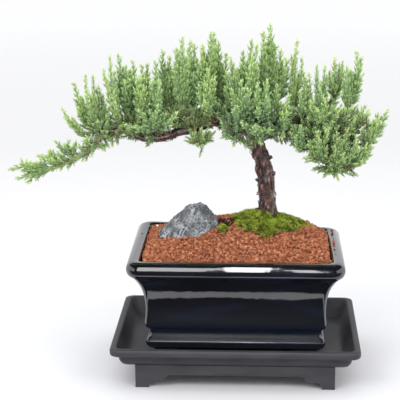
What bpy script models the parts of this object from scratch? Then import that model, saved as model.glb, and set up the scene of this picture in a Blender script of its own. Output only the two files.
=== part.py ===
"""A juniper bonsai in a glazed pot that stands on a plastic drip tray.

Units are metres and +Z is up. The world origin is the bottom centre of the whole plant,
and the pot stands POT_X to the side of it, because the longest limb reaches the other way.
Points in the tables below are in millimetres from the pot's centre line and the floor.
"""

import math

import bmesh
import bpy
from mathutils import Matrix, Vector

MM = 0.001
GAP = 0.0003
POT_X = 0.02856

# Drip tray: half length, half width, then its section as (inset, height) in millimetres.
TRAY_HALF = (88.2, 63.8)
TRAY_CORNER = 6.0
TRAY_FLOOR_Z = 18.5
TRAY_UNDER_Z = 16.2
TRAY_SECTION = (
    (16.0, TRAY_UNDER_Z), (10.5, 16.4), (8.0, 17.6), (6.4, 20.0), (5.6, 23.0), (5.4, 25.2),
    (1.0, 25.2), (0.2, 25.9), (0.0, 27.0), (0.0, 29.3), (0.4, 30.2), (1.2, 30.6),
    (3.6, 30.6), (4.4, 30.1), (4.8, 29.2), (6.2, 26.0), (8.4, 22.4), (10.6, 19.8),
    (12.4, 18.8), (14.5, TRAY_FLOOR_Z),
)
SKIRT_HALF = (70.6, 54.8)
SKIRT_THICK = 2.6
SKIRT_LOW_Z = 9.4
# Half of one scroll foot, as (distance from its corner, height).
FOOT_SCROLL = (
    (9.3, 0.0), (9.5, 1.4), (10.0, 2.8), (11.4, 4.4), (14.2, 5.2), (19.2, 5.2), (21.4, 6.4),
    (22.7, 8.0), (23.3, SKIRT_LOW_Z),
)

# Pot: half length, half width, then its wall as (inset, height), outside and inside.
POT_HALF = (76.8, 57.8)
POT_CORNER = 9.0
POT_BASE_Z = 24.6
POT_FLOOR_Z = 31.0
POT_RIM_Z = 91.5
POT_OUTSIDE = (
    (20.0, POT_BASE_Z), (15.6, 25.2), (13.8, 26.9), (13.0, 29.2), (13.2, 31.4), (14.2, 33.0),
    (15.6, 34.2), (16.0, 36.4), (15.8, 38.4), (14.6, 39.8), (13.0, 41.2), (12.3, 43.4),
    (12.5, 46.0), (12.9, 49.0), (13.1, 53.0), (13.0, 57.0), (12.6, 61.2), (11.8, 65.2),
    (10.6, 69.2), (9.0, 72.8), (7.2, 75.6), (5.6, 77.8), (4.2, 79.4), (3.0, 80.1),
    (1.7, 81.2), (0.7, 82.7), (0.1, 84.6), (0.1, 86.6), (0.5, 88.1), (1.3, 89.4),
    (2.2, 90.3), (3.2, 90.9), (4.4, 91.4), (5.6, POT_RIM_Z),
)
POT_INSIDE = (
    (7.6, 91.4), (8.9, 90.8), (9.6, 89.6), (9.8, 85.0), (12.0, 79.0), (15.5, 70.0),
    (17.6, 60.0), (18.0, 50.0), (18.5, 36.0), (20.5, POT_FLOOR_Z),
)
KILN_WARP = 2.2
POT_FOOT = (17.0, 14.0, 7.0)
DRAIN_X = 30.0
DRAIN_R = 6.0

SCREEN_SIDE = 22.0
SCREEN_THICK = 0.8
SCREEN_PITCH = 4.0
SCREEN_HOLE = 2.6
SCREEN_HOLES = 5

# Fill of the pot: the gravel is a heap over the soil, highest near the trunk.
GRAVEL_EDGE_Z = 89.4
HEAP_HEIGHT = 21.0
HEAP_X = 8.0
HEAP_SPREAD_X = 95.0
HEAP_SPREAD_Y = 49.0
GRAVEL_DEPTH = 8.0
FILL_GAP = 0.4

MOSS_CENTRE = (22.0, 1.0)
MOSS_HALF = (27.5, 26.0)
MOSS_THICK = 6.0
TUFT_CENTRE = (-9.5, -19.0)
TUFT_RADIUS = 4.0

# Corners of the accent stone.
STONE_CORNERS = (
    (-26, -9, 125), (-23, -8, 123), (-16, -9, 116), (-13, -12, 110), (-13, -16, 101),
    (-28, -26, 99), (-41, -23, 100), (-55, -14, 99), (-57, -9, 103), (-52, -9, 108),
    (-45, -10, 113), (-38, -9, 120), (-33, -9, 123), (-26, 3, 120), (-14, 3, 108),
    (-40, 6, 110), (-27, 11, 98), (-49, 5, 98), (-15, 10, 98),
)

# Wood: each limb's points as (x, y, z, radius).
LIMBS = (
    ("trunk", (
        (25, 9, 84, 5.0), (25, 10, 96, 8.6), (24, 10, 104, 8.2), (23, 10, 110, 7.2),
        (22, 10, 118, 6.1), (21, 10, 129, 5.8), (20, 10, 140, 5.6), (18, 10, 151, 5.5),
        (15, 10, 159, 5.3), (12, 9, 167, 5.0), (7, 8, 174, 4.2),
    )),
    ("left_limb", (
        (7, 8, 174, 4.2), (0, 7, 178, 3.8), (-8, 6, 181, 3.5), (-16, 5, 181, 3.3),
        (-24, 4, 178, 3.0), (-34, 3, 175, 2.9), (-42, 2, 173, 2.8), (-52, 1, 170, 2.7),
        (-61, 0, 169, 2.6), (-68, 0, 169, 2.4), (-77, -1, 173, 2.0), (-85, -2, 175, 1.8),
        (-93, -3, 174, 1.7), (-100, -4, 168, 1.5), (-107, -5, 161, 1.4), (-116, -6, 155, 1.2),
        (-125, -7, 151, 1.0),
    )),
    ("leader", ((12, 9, 167, 4.2), (11, 10, 178, 2.8), (12, 11, 186, 2.0), (15, 11, 192, 1.4))),
    ("right_branch", (
        (13, 10, 166, 4.0), (22, 10, 170, 3.0), (33, 10, 173, 2.6), (44, 10, 176, 2.4),
        (54, 9, 176, 2.2), (63, 8, 174, 1.9), (71, 7, 171, 1.6),
    )),
    ("crown_left", ((0, 7, 178, 2.6), (-8, 10, 186, 1.8), (-15, 11, 190, 1.3))),
    ("right_up", ((44, 10, 176, 2.0), (55, 12, 182, 1.5), (63, 12, 190, 1.1))),
    ("right_out", ((63, 8, 174, 1.6), (76, 6, 167, 1.3), (83, 4, 164, 1.0))),
    ("right_low", (
        (33, 10, 173, 2.2), (43, 8, 169, 1.9), (51, 4, 162, 1.6), (59, 1, 155, 1.4),
        (67, 0, 151, 1.2), (76, -1, 149, 1.0), (81, -1, 149, 0.9),
    )),
    ("limb_up", ((-42, 2, 173, 1.9), (-42, 5, 178, 1.3), (-41, 6, 183, 1.0))),
    ("pad_up", ((-68, 0, 169, 1.8), (-72, 2, 176, 1.3), (-74, 3, 180, 1.0))),
    ("elbow_up", ((-93, -3, 174, 1.3), (-97, -2, 177, 1.1), (-99, -1, 180, 0.9))),
    ("crown_back", ((7, 8, 174, 3.0), (8, 20, 176, 1.9), (10, 29, 178, 1.3))),
    ("crown_front", ((12, 9, 167, 3.0), (12, 0, 173, 1.8), (12, -8, 177, 1.2))),
    ("right_back", ((54, 9, 176, 1.8), (59, 18, 176, 1.5), (64, 26, 176, 1.1))),
    ("root_left", ((25, 10, 92, 5.0), (9, 4, 84, 3.6), (-9, 0, 74, 2.4), (-23, -6, 62, 1.4))),
    ("root_front", ((25, 10, 92, 5.0), (27, -6, 84, 3.2), (31, -20, 70, 1.4))),
    ("root_right", ((25, 10, 92, 4.6), (39, 12, 82, 3.0), (51, 16, 68, 1.4))),
    ("root_back", ((25, 10, 92, 4.6), (19, 24, 82, 3.0), (11, 34, 68, 1.4))),
)

# Foliage: each spray's stem start, then the tips of its shoots.
SPRAYS = (
    ("droop_tip", (-134, -8, 148), ((-165, -8, 147), (-152, -5, 136), (-159, -13, 141), (-150, -2, 149))),
    ("droop_rise", (-128, -6, 151), ((-143, -10, 159), (-140, 1, 156), (-135, -3, 162))),
    ("droop_mid", (-119, -4, 156), ((-130, -9, 169), (-126, 4, 164), (-122, -3, 169), (-116, 0, 167))),
    ("elbow_low", (-99, -7, 166), ((-105, -8, 157), (-94, -13, 162), (-91, -5, 163))),
    ("left_outer", (-108, -3, 170), ((-126, -3, 192), (-118, -11, 187), (-125, 8, 183))),
    ("left_high_a", (-104, 6, 174), ((-118, 6, 209), (-114, 17, 197), (-114, -3, 192))),
    ("left_high_b", (-100, -6, 180), ((-108, -6, 217), (-103, 0, 215), (-105, -14, 205))),
    ("left_high_c", (-95, 3, 177), ((-100, 5, 207), (-97, 10, 199), (-91, -8, 194))),
    ("pad_outer", (-84, -4, 181), ((-95, -8, 221), (-90, -5, 230), (-86, -18, 207))),
    ("pad_mid", (-78, 5, 184), ((-85, 4, 230), (-80, 10, 221), (-74, 0, 226), (-79, -10, 213))),
    ("pad_inner", (-68, -4, 183), ((-68, -2, 224), (-64, 4, 224), (-65, -18, 211), (-71, -14, 216))),
    ("pad_back", (-75, 18, 177), ((-91, 28, 208), (-80, 33, 213), (-68, 28, 211))),
    ("limb_front", (-56, -8, 177), ((-79, -16, 182), (-69, -21, 194), (-55, -22, 198), (-41, -19, 192))),
    ("mid_a", (-58, -4, 183), ((-58, -3, 226), (-60, -12, 213), (-54, -14, 212))),
    ("mid_b", (-50, 11, 182), ((-54, 10, 232), (-49, 14, 227), (-46, 20, 219))),
    ("mid_c", (-38, -2, 189), ((-39, -4, 243), (-43, -9, 236), (-35, -3, 229))),
    ("mid_d", (-31, 6, 187), ((-34, 6, 240), (-31, 13, 236), (-27, -2, 225))),
    ("mid_back", (-44, 24, 178), ((-55, 33, 207), (-41, 37, 213), (-30, 34, 212))),
    ("crown_a", (-22, 6, 189), ((-19, 4, 246), (-25, 0, 238), (-17, 10, 245))),
    ("crown_a_front", (-20, -10, 190),
      ((-27, -22, 212), (-20, -19, 223), (-15, -23, 218), (-22, -29, 202))),
    ("crown_b", (-12, 13, 190), ((-14, 13, 238), (-8, 12, 230), (-11, 20, 221))),
    ("crown_c", (-3, -3, 189), ((-5, -4, 229), (0, -12, 223), (-8, -8, 219))),
    ("crown_d", (4, 6, 190), ((4, 8, 232), (2, 0, 224), (7, 14, 225))),
    ("crown_e", (11, -2, 196), ((10, 0, 241), (14, -6, 239), (9, -16, 225))),
    ("crown_top", (18, 10, 196), ((23, 11, 251), (18, 7, 246), (25, 16, 239))),
    ("crown_f", (27, 12, 192), ((27, 14, 235), (31, 10, 233), (35, 6, 227))),
    ("front_a", (5, -14, 187), ((-4, -25, 210), (3, -26, 216), (8, -30, 211), (-1, -33, 199))),
    ("front_b", (18, -13, 188), ((14, -25, 214), (21, -24, 216), (21, -33, 206), (14, -36, 198))),
    ("front_c", (31, -4, 180), ((28, -18, 212), (36, -19, 205), (35, -26, 194), (32, -20, 173))),
    ("under_left", (-1, -3, 172), ((-12, -16, 186), (-12, -12, 172), (-2, -12, 166), (9, -8, 163))),
    ("under_front", (14, -12, 177), ((3, -31, 187), (13, -38, 186), (24, -31, 182), (17, -24, 170))),
    ("back_a", (5, 34, 182), ((-3, 44, 209), (6, 48, 217), (1, 60, 188))),
    ("back_b", (20, 34, 182), ((17, 46, 220), (28, 44, 213), (24, 60, 190))),
    ("back_c", (-12, 27, 179), ((-23, 34, 212), (-13, 40, 211), (-17, 50, 190))),
    ("lone_shoot", (39, 10, 187), ((42, 8, 240), (38, 5, 230), (46, 11, 227))),
    ("right_a", (48, 8, 184), ((47, 10, 217), (51, 5, 217), (44, -2, 205))),
    ("right_b", (58, 2, 192), ((56, 0, 223), (62, 5, 222), (58, -12, 208))),
    ("right_c", (69, 12, 197), ((69, 12, 227), (75, 9, 225), (66, 0, 215))),
    ("right_d", (78, 4, 188), ((84, 3, 233), (88, 9, 228), (77, -4, 223))),
    ("right_e", (84, 4, 175), ((81, -3, 195), (91, 8, 193), (94, 1, 191))),
    ("right_tip", (91, 1, 164), ((107, 2, 191), (101, 7, 188), (96, -7, 185))),
    ("right_front", (63, -12, 183), ((51, -20, 201), (61, -24, 203), (73, -22, 196), (62, -31, 181))),
    ("right_near", (48, -3, 163), ((34, -8, 189), (37, -13, 177), (41, -14, 165), (45, -17, 183))),
    ("right_low_a", (67, 2, 148), ((53, -2, 147), (61, -6, 142), (73, -6, 141), (85, -2, 143))),
    ("right_low_b", (82, -2, 149), ((92, -8, 168), (98, -2, 173), (97, 4, 160), (89, -10, 156))),
    ("right_mid", (72, -5, 151), ((70, -16, 178), (78, -17, 180), (85, -14, 172), (75, -22, 163))),
    ("right_fan", (59, -5, 154), ((50, -15, 171), (57, -18, 179), (64, -16, 177), (47, -9, 158))),
    ("right_back_a", (62, 32, 181), ((48, 40, 199), (62, 45, 204), (77, 40, 201))),
    ("right_back_b", (73, 24, 165), ((59, 32, 147), (76, 36, 141), (89, 34, 163))),
    ("limb_under", (-26, -3, 171), ((-35, -7, 167), (-25, -9, 164), (-17, -3, 170))),
)
STEM_R = 1.8
LOW_R = 3.8
SHOOT_R = 4.2
TIP_R = 1.8
SPRAY_DEPTH = 5.0
LONG_SHOOT = 30.0

COLOURS = {
    "tray_plastic": ((0.045, 0.045, 0.050), 0.55),
    "pot_glaze": ((0.012, 0.014, 0.025), 0.12),
    "screen_plastic": ((0.02, 0.03, 0.02), 0.6),
    "potting_soil": ((0.06, 0.035, 0.02), 0.95),
    "lava_gravel": ((0.37, 0.12, 0.055), 0.9),
    "moss": ((0.16, 0.30, 0.03), 0.9),
    "slate_stone": ((0.13, 0.14, 0.16), 0.7),
    "juniper_bark": ((0.10, 0.045, 0.035), 0.55),
    "juniper_foliage": ((0.12, 0.27, 0.09), 0.7),
}


# ---- scene bookkeeping -------------------------------------------------------------------


def clear_scene():
    for obj in list(bpy.data.objects):
        bpy.data.objects.remove(obj, do_unlink=True)


def make_collection(name):
    collection = bpy.data.collections.new(name)
    bpy.context.scene.collection.children.link(collection)
    return collection


def make_material(name):
    colour, roughness = COLOURS[name]
    material = bpy.data.materials.new(name)
    material.use_nodes = True
    shader = material.node_tree.nodes["Principled BSDF"]
    shader.inputs["Base Color"].default_value = (*colour, 1.0)
    shader.inputs["Roughness"].default_value = roughness
    return material


def bmesh_object(name, bm, collection, material=None):
    """Turn a bmesh in millimetres into an object in metres."""
    bmesh.ops.scale(bm, vec=(MM, MM, MM), verts=bm.verts)
    bmesh.ops.recalc_face_normals(bm, faces=bm.faces)
    mesh = bpy.data.meshes.new(name)
    bm.to_mesh(mesh)
    bm.free()
    obj = bpy.data.objects.new(name, mesh)
    collection.objects.link(obj)
    if material:
        mesh.materials.append(material)
    return obj


def apply_modifiers(obj):
    """Replace an object's mesh with its evaluated mesh."""
    depsgraph = bpy.context.evaluated_depsgraph_get()
    mesh = bpy.data.meshes.new_from_object(obj.evaluated_get(depsgraph))
    obj.modifiers.clear()
    obj.data = mesh


def boolean(obj, tool, operation):
    modifier = obj.modifiers.new(operation.lower(), "BOOLEAN")
    modifier.operation = operation
    modifier.solver = "EXACT"
    modifier.object = tool
    apply_modifiers(obj)


def discard(*objects):
    for obj in objects:
        bpy.data.objects.remove(obj, do_unlink=True)


def keep_largest_body(obj):
    """Drop the slivers that a cut leaves beside the main body."""
    bm = bmesh.new()
    bm.from_mesh(obj.data)
    left = set(bm.verts)
    bodies = []
    while left:
        stack = [left.pop()]
        body = set(stack)
        while stack:
            for edge in stack.pop().link_edges:
                for vert in edge.verts:
                    if vert not in body:
                        body.add(vert)
                        stack.append(vert)
        left -= body
        bodies.append(body)
    bodies.sort(key=len)
    for body in bodies[:-1]:
        bmesh.ops.delete(bm, geom=list(body), context="VERTS")
    bm.to_mesh(obj.data)
    bm.free()


# ---- shape helpers -----------------------------------------------------------------------


def rounded_ring(half_x, half_y, corner, height, steps=4):
    """Points of a rounded rectangle, anticlockwise from above."""
    ring = []
    for centre_x, centre_y, start in (
        (half_x - corner, half_y - corner, 0),
        (corner - half_x, half_y - corner, 90),
        (corner - half_x, corner - half_y, 180),
        (half_x - corner, corner - half_y, 270),
    ):
        for step in range(steps + 1):
            angle = math.radians(start + 90 * step / steps)
            x = centre_x + corner * math.cos(angle)
            y = centre_y + corner * math.sin(angle)
            ring.append(Vector((x, y, height)))
    return ring


def section_rings(half, corner, shrink, least, section):
    """Rounded rectangles for the (inset, height) points of a wall's section."""
    rings = []
    for inset, height in section:
        radius = max(corner - shrink * inset, least)
        rings.append(rounded_ring(half[0] - inset, half[1] - inset, radius, height))
    return rings


def loft(rings):
    """A closed solid through rings of equal length, capped at both ends."""
    bm = bmesh.new()
    rows = [[bm.verts.new(point) for point in ring] for ring in rings]
    count = len(rings[0])
    for lower, upper in zip(rows, rows[1:]):
        for i in range(count):
            j = (i + 1) % count
            bm.faces.new((lower[i], lower[j], upper[j], upper[i]))
    caps = [bm.faces.new(rows[0]), bm.faces.new(rows[-1])]
    bmesh.ops.triangulate(bm, faces=caps)
    return bm


def box(half_x, half_y, low, high, x=0.0, y=0.0):
    bm = bmesh.new()
    bmesh.ops.create_cube(bm, size=1.0)
    bmesh.ops.scale(bm, vec=(2 * half_x, 2 * half_y, high - low), verts=bm.verts)
    bmesh.ops.translate(bm, vec=(x, y, (low + high) / 2), verts=bm.verts)
    return bm


def flat_outline(name, outlines, thickness, collection):
    """A plate in the XY plane from closed outlines, with any inner ones as holes."""
    curve = bpy.data.curves.new(name, "CURVE")
    curve.dimensions = "2D"
    curve.fill_mode = "BOTH"
    curve.extrude = thickness * MM / 2
    for outline in outlines:
        spline = curve.splines.new("POLY")
        spline.points.add(len(outline) - 1)
        for point, (x, y) in zip(spline.points, outline):
            point.co = (x * MM, y * MM, 0.0, 1.0)
        spline.use_cyclic_u = True
    return curve_to_mesh(name, curve, collection)


def limb_tube(name, points, collection, grow=0.0):
    """A tapering limb: a poly curve with a radius at each point."""
    curve = bpy.data.curves.new(name, "CURVE")
    curve.dimensions = "3D"
    curve.bevel_depth = MM
    curve.bevel_resolution = 2
    curve.use_fill_caps = True
    spline = curve.splines.new("POLY")
    spline.points.add(len(points) - 1)
    for point, (x, y, z, radius) in zip(spline.points, points):
        point.co = (x * MM, y * MM, z * MM, 1.0)
        point.radius = radius + grow
    return curve_to_mesh(name, curve, collection)


def curve_to_mesh(name, curve, collection):
    """Make a curve a closed mesh object with welded caps."""
    source = bpy.data.objects.new(name, curve)
    collection.objects.link(source)
    bpy.context.view_layer.update()
    depsgraph = bpy.context.evaluated_depsgraph_get()
    mesh = bpy.data.meshes.new_from_object(source.evaluated_get(depsgraph))
    discard(source)
    bm = bmesh.new()
    bm.from_mesh(mesh)
    bmesh.ops.remove_doubles(bm, verts=bm.verts, dist=0.00002)
    bmesh.ops.recalc_face_normals(bm, faces=bm.faces)
    bm.to_mesh(mesh)
    bm.free()
    mesh.materials.clear()
    obj = bpy.data.objects.new(name, mesh)
    collection.objects.link(obj)
    return obj


def place_mesh(obj, matrix):
    """Turn or move the mesh itself, so that the object can be joined where it lies."""
    obj.data.transform(matrix)
    obj.data.update()


# ---- drip tray ---------------------------------------------------------------------------


def skirt_outline(half):
    """One side of the skirt, with a scroll foot at each end."""
    right = [(half - x, z) for x, z in FOOT_SCROLL]
    left = [(-x, z) for x, z in reversed(right)]
    top = TRAY_UNDER_Z + 0.6
    return [(half, top), (half, 0.0), *right, *left, (-half, 0.0), (-half, top)]


def make_tray(parts, tools, material):
    rings = section_rings(TRAY_HALF, TRAY_CORNER, 0.3, 2.0, TRAY_SECTION)
    tray = bmesh_object("drip_tray", loft(rings), parts, material)
    upright = Matrix.Rotation(math.radians(90), 4, "X")
    quarter = Matrix.Rotation(math.radians(90), 4, "Z")
    for along, across, turn in ((0, 1, Matrix.Identity(4)), (1, 0, quarter)):
        for side in (-1, 1):
            outline = skirt_outline(SKIRT_HALF[along])
            panel = flat_outline("skirt", [outline], SKIRT_THICK, tools)
            distance = side * (SKIRT_HALF[across] - SKIRT_THICK / 2) * MM
            offset = Matrix.Translation((0.0, distance, 0.0))
            place_mesh(panel, turn @ offset @ upright)
            boolean(tray, panel, "UNION")
            discard(panel)
    return tray


# ---- pot and drain screens ---------------------------------------------------------------


def warp(point, half, low, high):
    """The kiln's twist: one back corner stands higher and the other lower."""
    rise = min(max((point.z - low) / (high - low), 0.0), 1.0)
    depth = max(point.y / half[1], 0.0)
    point.z -= KILN_WARP * rise * depth * point.x / half[0]


def make_pot(parts, tools, material):
    rings = section_rings(POT_HALF, POT_CORNER, 0.45, 3.0, POT_OUTSIDE + POT_INSIDE)
    for ring in rings:
        for point in ring:
            warp(point, POT_HALF, POT_BASE_Z + 20.0, POT_RIM_Z)
    pot = bmesh_object("glazed_pot", loft(rings), parts, material)
    foot_x, foot_y, inset = POT_FOOT
    for side_x in (-1, 1):
        for side_y in (-1, 1):
            x = side_x * (POT_HALF[0] - 15.0 - inset / 2 - foot_x / 2)
            y = side_y * (POT_HALF[1] - 15.0 - inset / 2 - foot_y / 2)
            foot_low = TRAY_FLOOR_Z + GAP / MM
            foot = bmesh_object(
                "foot", box(foot_x / 2, foot_y / 2, foot_low, POT_BASE_Z + 2.0, x, y), tools
            )
            bevel = foot.modifiers.new("round", "BEVEL")
            bevel.width = 1.6 * MM
            bevel.segments = 2
            apply_modifiers(foot)
            boolean(pot, foot, "UNION")
            discard(foot)
    for side in (-1, 1):
        bm = bmesh.new()
        bmesh.ops.create_cone(
            bm, cap_ends=True, segments=24, radius1=DRAIN_R, radius2=DRAIN_R, depth=20.0
        )
        bmesh.ops.translate(bm, vec=(side * DRAIN_X, 0.0, POT_FLOOR_Z - 2.0), verts=bm.verts)
        drill = bmesh_object("drill", bm, tools)
        boolean(pot, drill, "DIFFERENCE")
        discard(drill)
    return pot


def make_screen(name, x, parts, material):
    half = SCREEN_SIDE / 2
    hole = SCREEN_HOLE / 2
    outlines = [[(-half, -half), (half, -half), (half, half), (-half, half)]]
    start = -SCREEN_PITCH * (SCREEN_HOLES - 1) / 2
    for i in range(SCREEN_HOLES):
        for j in range(SCREEN_HOLES):
            cx = start + SCREEN_PITCH * i
            cy = start + SCREEN_PITCH * j
            low_x, high_x, low_y, high_y = cx - hole, cx + hole, cy - hole, cy + hole
            outlines.append([(low_x, low_y), (low_x, high_y), (high_x, high_y), (high_x, low_y)])
    screen = flat_outline(name, outlines, SCREEN_THICK, parts)
    screen.data.materials.append(material)
    height = (POT_FLOOR_Z + SCREEN_THICK / 2) * MM + GAP
    place_mesh(screen, Matrix.Translation((x * MM, 0.0, height)))
    return screen


# ---- fill of the pot ---------------------------------------------------------------------


def heap_height(x, y):
    """Height of the gravel's surface over a point of the pot's plan."""
    across = 1.0 - ((x - HEAP_X) / HEAP_SPREAD_X) ** 2
    along = 1.0 - (y / HEAP_SPREAD_Y) ** 2
    edge = 1.0 - (x / 68.0) ** 8
    return GRAVEL_EDGE_Z + HEAP_HEIGHT * max(across, 0.0) * max(along, 0.0) * max(edge, 0.0)


def wall_rings(heights, gap):
    """Rings against the pot's inner wall at each height, lowest first."""
    wall = sorted((z, inset) for inset, z in POT_INSIDE)
    rings = []
    for height in heights:
        for (z0, inset0), (z1, inset1) in zip(wall, wall[1:]):
            if z0 <= height <= z1:
                inset = inset0 + (inset1 - inset0) * (height - z0) / (z1 - z0)
        radius = max(POT_CORNER - 0.45 * inset, 3.0)
        ring = rounded_ring(POT_HALF[0] - inset - gap, POT_HALF[1] - inset - gap, radius, height)
        for point in ring:
            warp(point, POT_HALF, POT_BASE_Z + 20.0, POT_RIM_Z)
        rings.append(ring)
    return rings


HEAP_SCALES = (0.97, 0.88, 0.76, 0.62, 0.46, 0.30, 0.14)


def heap_rings(outline, lift):
    """The heap's surface, from its edge towards the middle."""
    rings = []
    for scale in HEAP_SCALES:
        ring = []
        for point in outline:
            x = point.x * scale
            y = point.y * scale
            edge = (1.0 - scale) / (1.0 - HEAP_SCALES[1])
            level = heap_height(x, y) + lift
            ring.append(Vector((x, y, point.z + (level - point.z) * min(edge, 1.0))))
        rings.append(ring)
    return rings


def subdivided(ring, parts=3):
    """Extra points on the straight sides, so that the heap stays smooth along them."""
    result = []
    for a, b in zip(ring, ring[1:] + ring[:1]):
        steps = parts * 2 if (b - a).length > 20.0 else 1
        result.extend(a.lerp(b, step / steps) for step in range(steps))
    return result


def soil_body(lift):
    """The soil's body, against the pot's wall and heaped like the gravel over it."""
    heights = (POT_FLOOR_Z + 0.4, 36.0, 50.0, 60.0, 70.0, 78.0, GRAVEL_EDGE_Z - GRAVEL_DEPTH)
    rings = [subdivided(ring) for ring in wall_rings(heights, FILL_GAP)]
    rings += heap_rings(rings[-1], -GRAVEL_DEPTH)
    for ring in rings:
        for point in ring:
            point.z += lift
    return loft(rings)


def make_soil(parts, tools, material, roots):
    soil = bmesh_object("potting_soil", soil_body(0.0), parts, material)
    for side in (-1, 1):
        low = POT_FLOOR_Z - 1.0
        high = POT_FLOOR_Z + SCREEN_THICK + 0.6
        half = SCREEN_SIDE / 2 + 0.4
        pocket = bmesh_object("pocket", box(half, half, low, high, side * DRAIN_X), tools)
        boolean(soil, pocket, "DIFFERENCE")
        discard(pocket)
    boolean(soil, roots, "DIFFERENCE")
    keep_largest_body(soil)
    return soil


def gravel_body(lift):
    """The gravel's heap, from inside the soil to its surface."""
    heights = (78.0, GRAVEL_EDGE_Z - GRAVEL_DEPTH, 85.0, GRAVEL_EDGE_Z)
    rings = [subdivided(ring) for ring in wall_rings(heights, FILL_GAP + 0.3)]
    return loft(rings + heap_rings(rings[-1], lift))


def make_gravel(parts, tools, material, roots):
    gravel = bmesh_object("lava_gravel", gravel_body(0.0), parts, material)
    lifted = bmesh_object("lifted_soil", soil_body(GAP / MM), tools)
    boolean(gravel, lifted, "DIFFERENCE")
    discard(lifted)
    boolean(gravel, roots, "DIFFERENCE")
    keep_largest_body(gravel)
    return gravel


def make_cushion(name, centre, half, thick, parts, material):
    """A low mound of moss, thickest in the middle, that reaches down into the gravel."""
    rings = []
    count = 24
    for scale, drop in ((0.0, 12.0), (0.9, 12.0), (1.0, 1.5)):
        rings.append(cushion_ring(centre, half, max(scale, 0.05), count, lambda r, drop=drop: -drop))
    for scale in (0.95, 0.84, 0.68, 0.50, 0.32, 0.14):
        rings.append(cushion_ring(centre, half, scale, count, lambda r: thick * (1.0 - r)))
    return bmesh_object(name, loft(rings), parts, material)


def cushion_ring(centre, half, scale, count, height):
    ring = []
    for i in range(count):
        angle = math.tau * i / count
        x = centre[0] + half[0] * scale * math.cos(angle)
        y = centre[1] + half[1] * scale * math.sin(angle)
        ring.append(Vector((x, y, heap_height(x, y) + height(scale))))
    return ring


# ---- stone -------------------------------------------------------------------------------


def make_stone(parts, material):
    bm = bmesh.new()
    for corner in STONE_CORNERS:
        bm.verts.new(corner)
    bmesh.ops.convex_hull(bm, input=bm.verts)
    loose = [vert for vert in bm.verts if not vert.link_faces]
    bmesh.ops.delete(bm, geom=loose, context="VERTS")
    return bmesh_object("accent_stone", bm, parts, material)


# ---- wood --------------------------------------------------------------------------------


def make_wood(name, collection, grow, material=None):
    """All limbs and roots as one grown piece, or a little fatter, as a cutter."""
    wood = None
    for limb_name, points in LIMBS:
        tube = limb_tube(limb_name, points, collection, grow)
        if wood is None:
            wood = tube
            wood.name = name
            continue
        boolean(wood, tube, "UNION")
        discard(tube)
    keep_largest_body(wood)
    if material:
        wood.data.materials.clear()
        wood.data.materials.append(material)
    return wood


# ---- foliage -----------------------------------------------------------------------------


def spray_spheres(start, tips):
    """Spheres that a spray's body is stretched round: its stem, and each shoot's swell and tip."""
    stem = Vector(start)
    spheres = [(stem, STEM_R)]
    for tip in tips:
        shoot = Vector(tip) - stem
        reach = shoot.length
        end = stem + shoot * (1.0 - TIP_R / reach)
        spheres.append((stem + shoot * 0.35, LOW_R))
        spheres.append((stem + shoot * 0.70, SHOOT_R))
        spheres.append((end, TIP_R))
        if reach > LONG_SHOOT:
            for side in (-SPRAY_DEPTH, SPRAY_DEPTH):
                spheres.append((stem + shoot * 0.55 + Vector((0.0, side, 0.0)), LOW_R - 1.0))
    return spheres


def nearest_points(group_a, group_b, rounds=240):
    """Nearest points of two convex hulls, found by steps towards their extreme corners."""
    a = sum(group_a, Vector()) / len(group_a)
    b = sum(group_b, Vector()) / len(group_b)
    for step in range(rounds):
        apart = a - b
        extreme_a = min(group_a, key=lambda point: point.dot(apart))
        extreme_b = max(group_b, key=lambda point: point.dot(apart))
        move = (extreme_a - extreme_b) - apart
        length = move.length_squared
        if length < 1e-9:
            break
        share = min(max(-apart.dot(move) / length, 0.0), 1.0)
        if share < 1e-5:
            break
        a = a.lerp(extreme_a, share)
        b = b.lerp(extreme_b, share)
    return a, b


def cut_planes(spheres_by_name):
    """For each pair of sprays that would touch, a plane between them."""
    planes = {name: [] for name in spheres_by_name}
    names = list(spheres_by_name)
    for i, name_a in enumerate(names):
        points_a = [centre for centre, radius in spheres_by_name[name_a]]
        for name_b in names[i + 1:]:
            points_b = [centre for centre, radius in spheres_by_name[name_b]]
            near_a, near_b = nearest_points(points_a, points_b)
            apart = near_b - near_a
            if apart.length > 2 * SHOOT_R + 1.0:
                continue
            normal = apart.normalized()
            middle = (near_a + near_b) / 2
            gap = normal * (0.6 * GAP / MM)
            planes[name_a].append((middle - gap, normal))
            planes[name_b].append((middle + gap, -normal))
            if apart.length < 0.8:
                print("crossing sprays:", name_a, name_b, round(apart.length, 2))
    return planes


def spray_body(spheres, planes):
    bm = bmesh.new()
    for centre, radius in spheres:
        bmesh.ops.create_icosphere(
            bm, subdivisions=1, radius=radius, matrix=Matrix.Translation(centre)
        )
    stretch_skin(bm)
    for point, normal in planes:
        cut = bmesh.ops.bisect_plane(
            bm, geom=bm.verts[:] + bm.edges[:] + bm.faces[:], dist=0.0001,
            plane_co=point, plane_no=normal, clear_outer=True,
        )
        if cut["geom_cut"]:
            stretch_skin(bm)
    return bm


def stretch_skin(bm):
    """Replace the mesh with the tight skin round its points."""
    points = [vert.co.copy() for vert in bm.verts]
    bm.clear()
    for point in points:
        bm.verts.new(point)
    bmesh.ops.convex_hull(bm, input=bm.verts)
    loose = [vert for vert in bm.verts if not vert.link_faces]
    bmesh.ops.delete(bm, geom=loose, context="VERTS")
    bmesh.ops.dissolve_degenerate(bm, dist=0.02, edges=bm.edges)


def make_sprays(parts, material, wood_tool):
    spheres = {name: spray_spheres(start, tips) for name, start, tips in SPRAYS}
    planes = cut_planes(spheres)
    for name in spheres:
        body = bmesh_object("spray_" + name, spray_body(spheres[name], planes[name]), parts, material)
        boolean(body, wood_tool, "DIFFERENCE")
        keep_largest_body(body)


# ---- assembly ----------------------------------------------------------------------------


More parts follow.
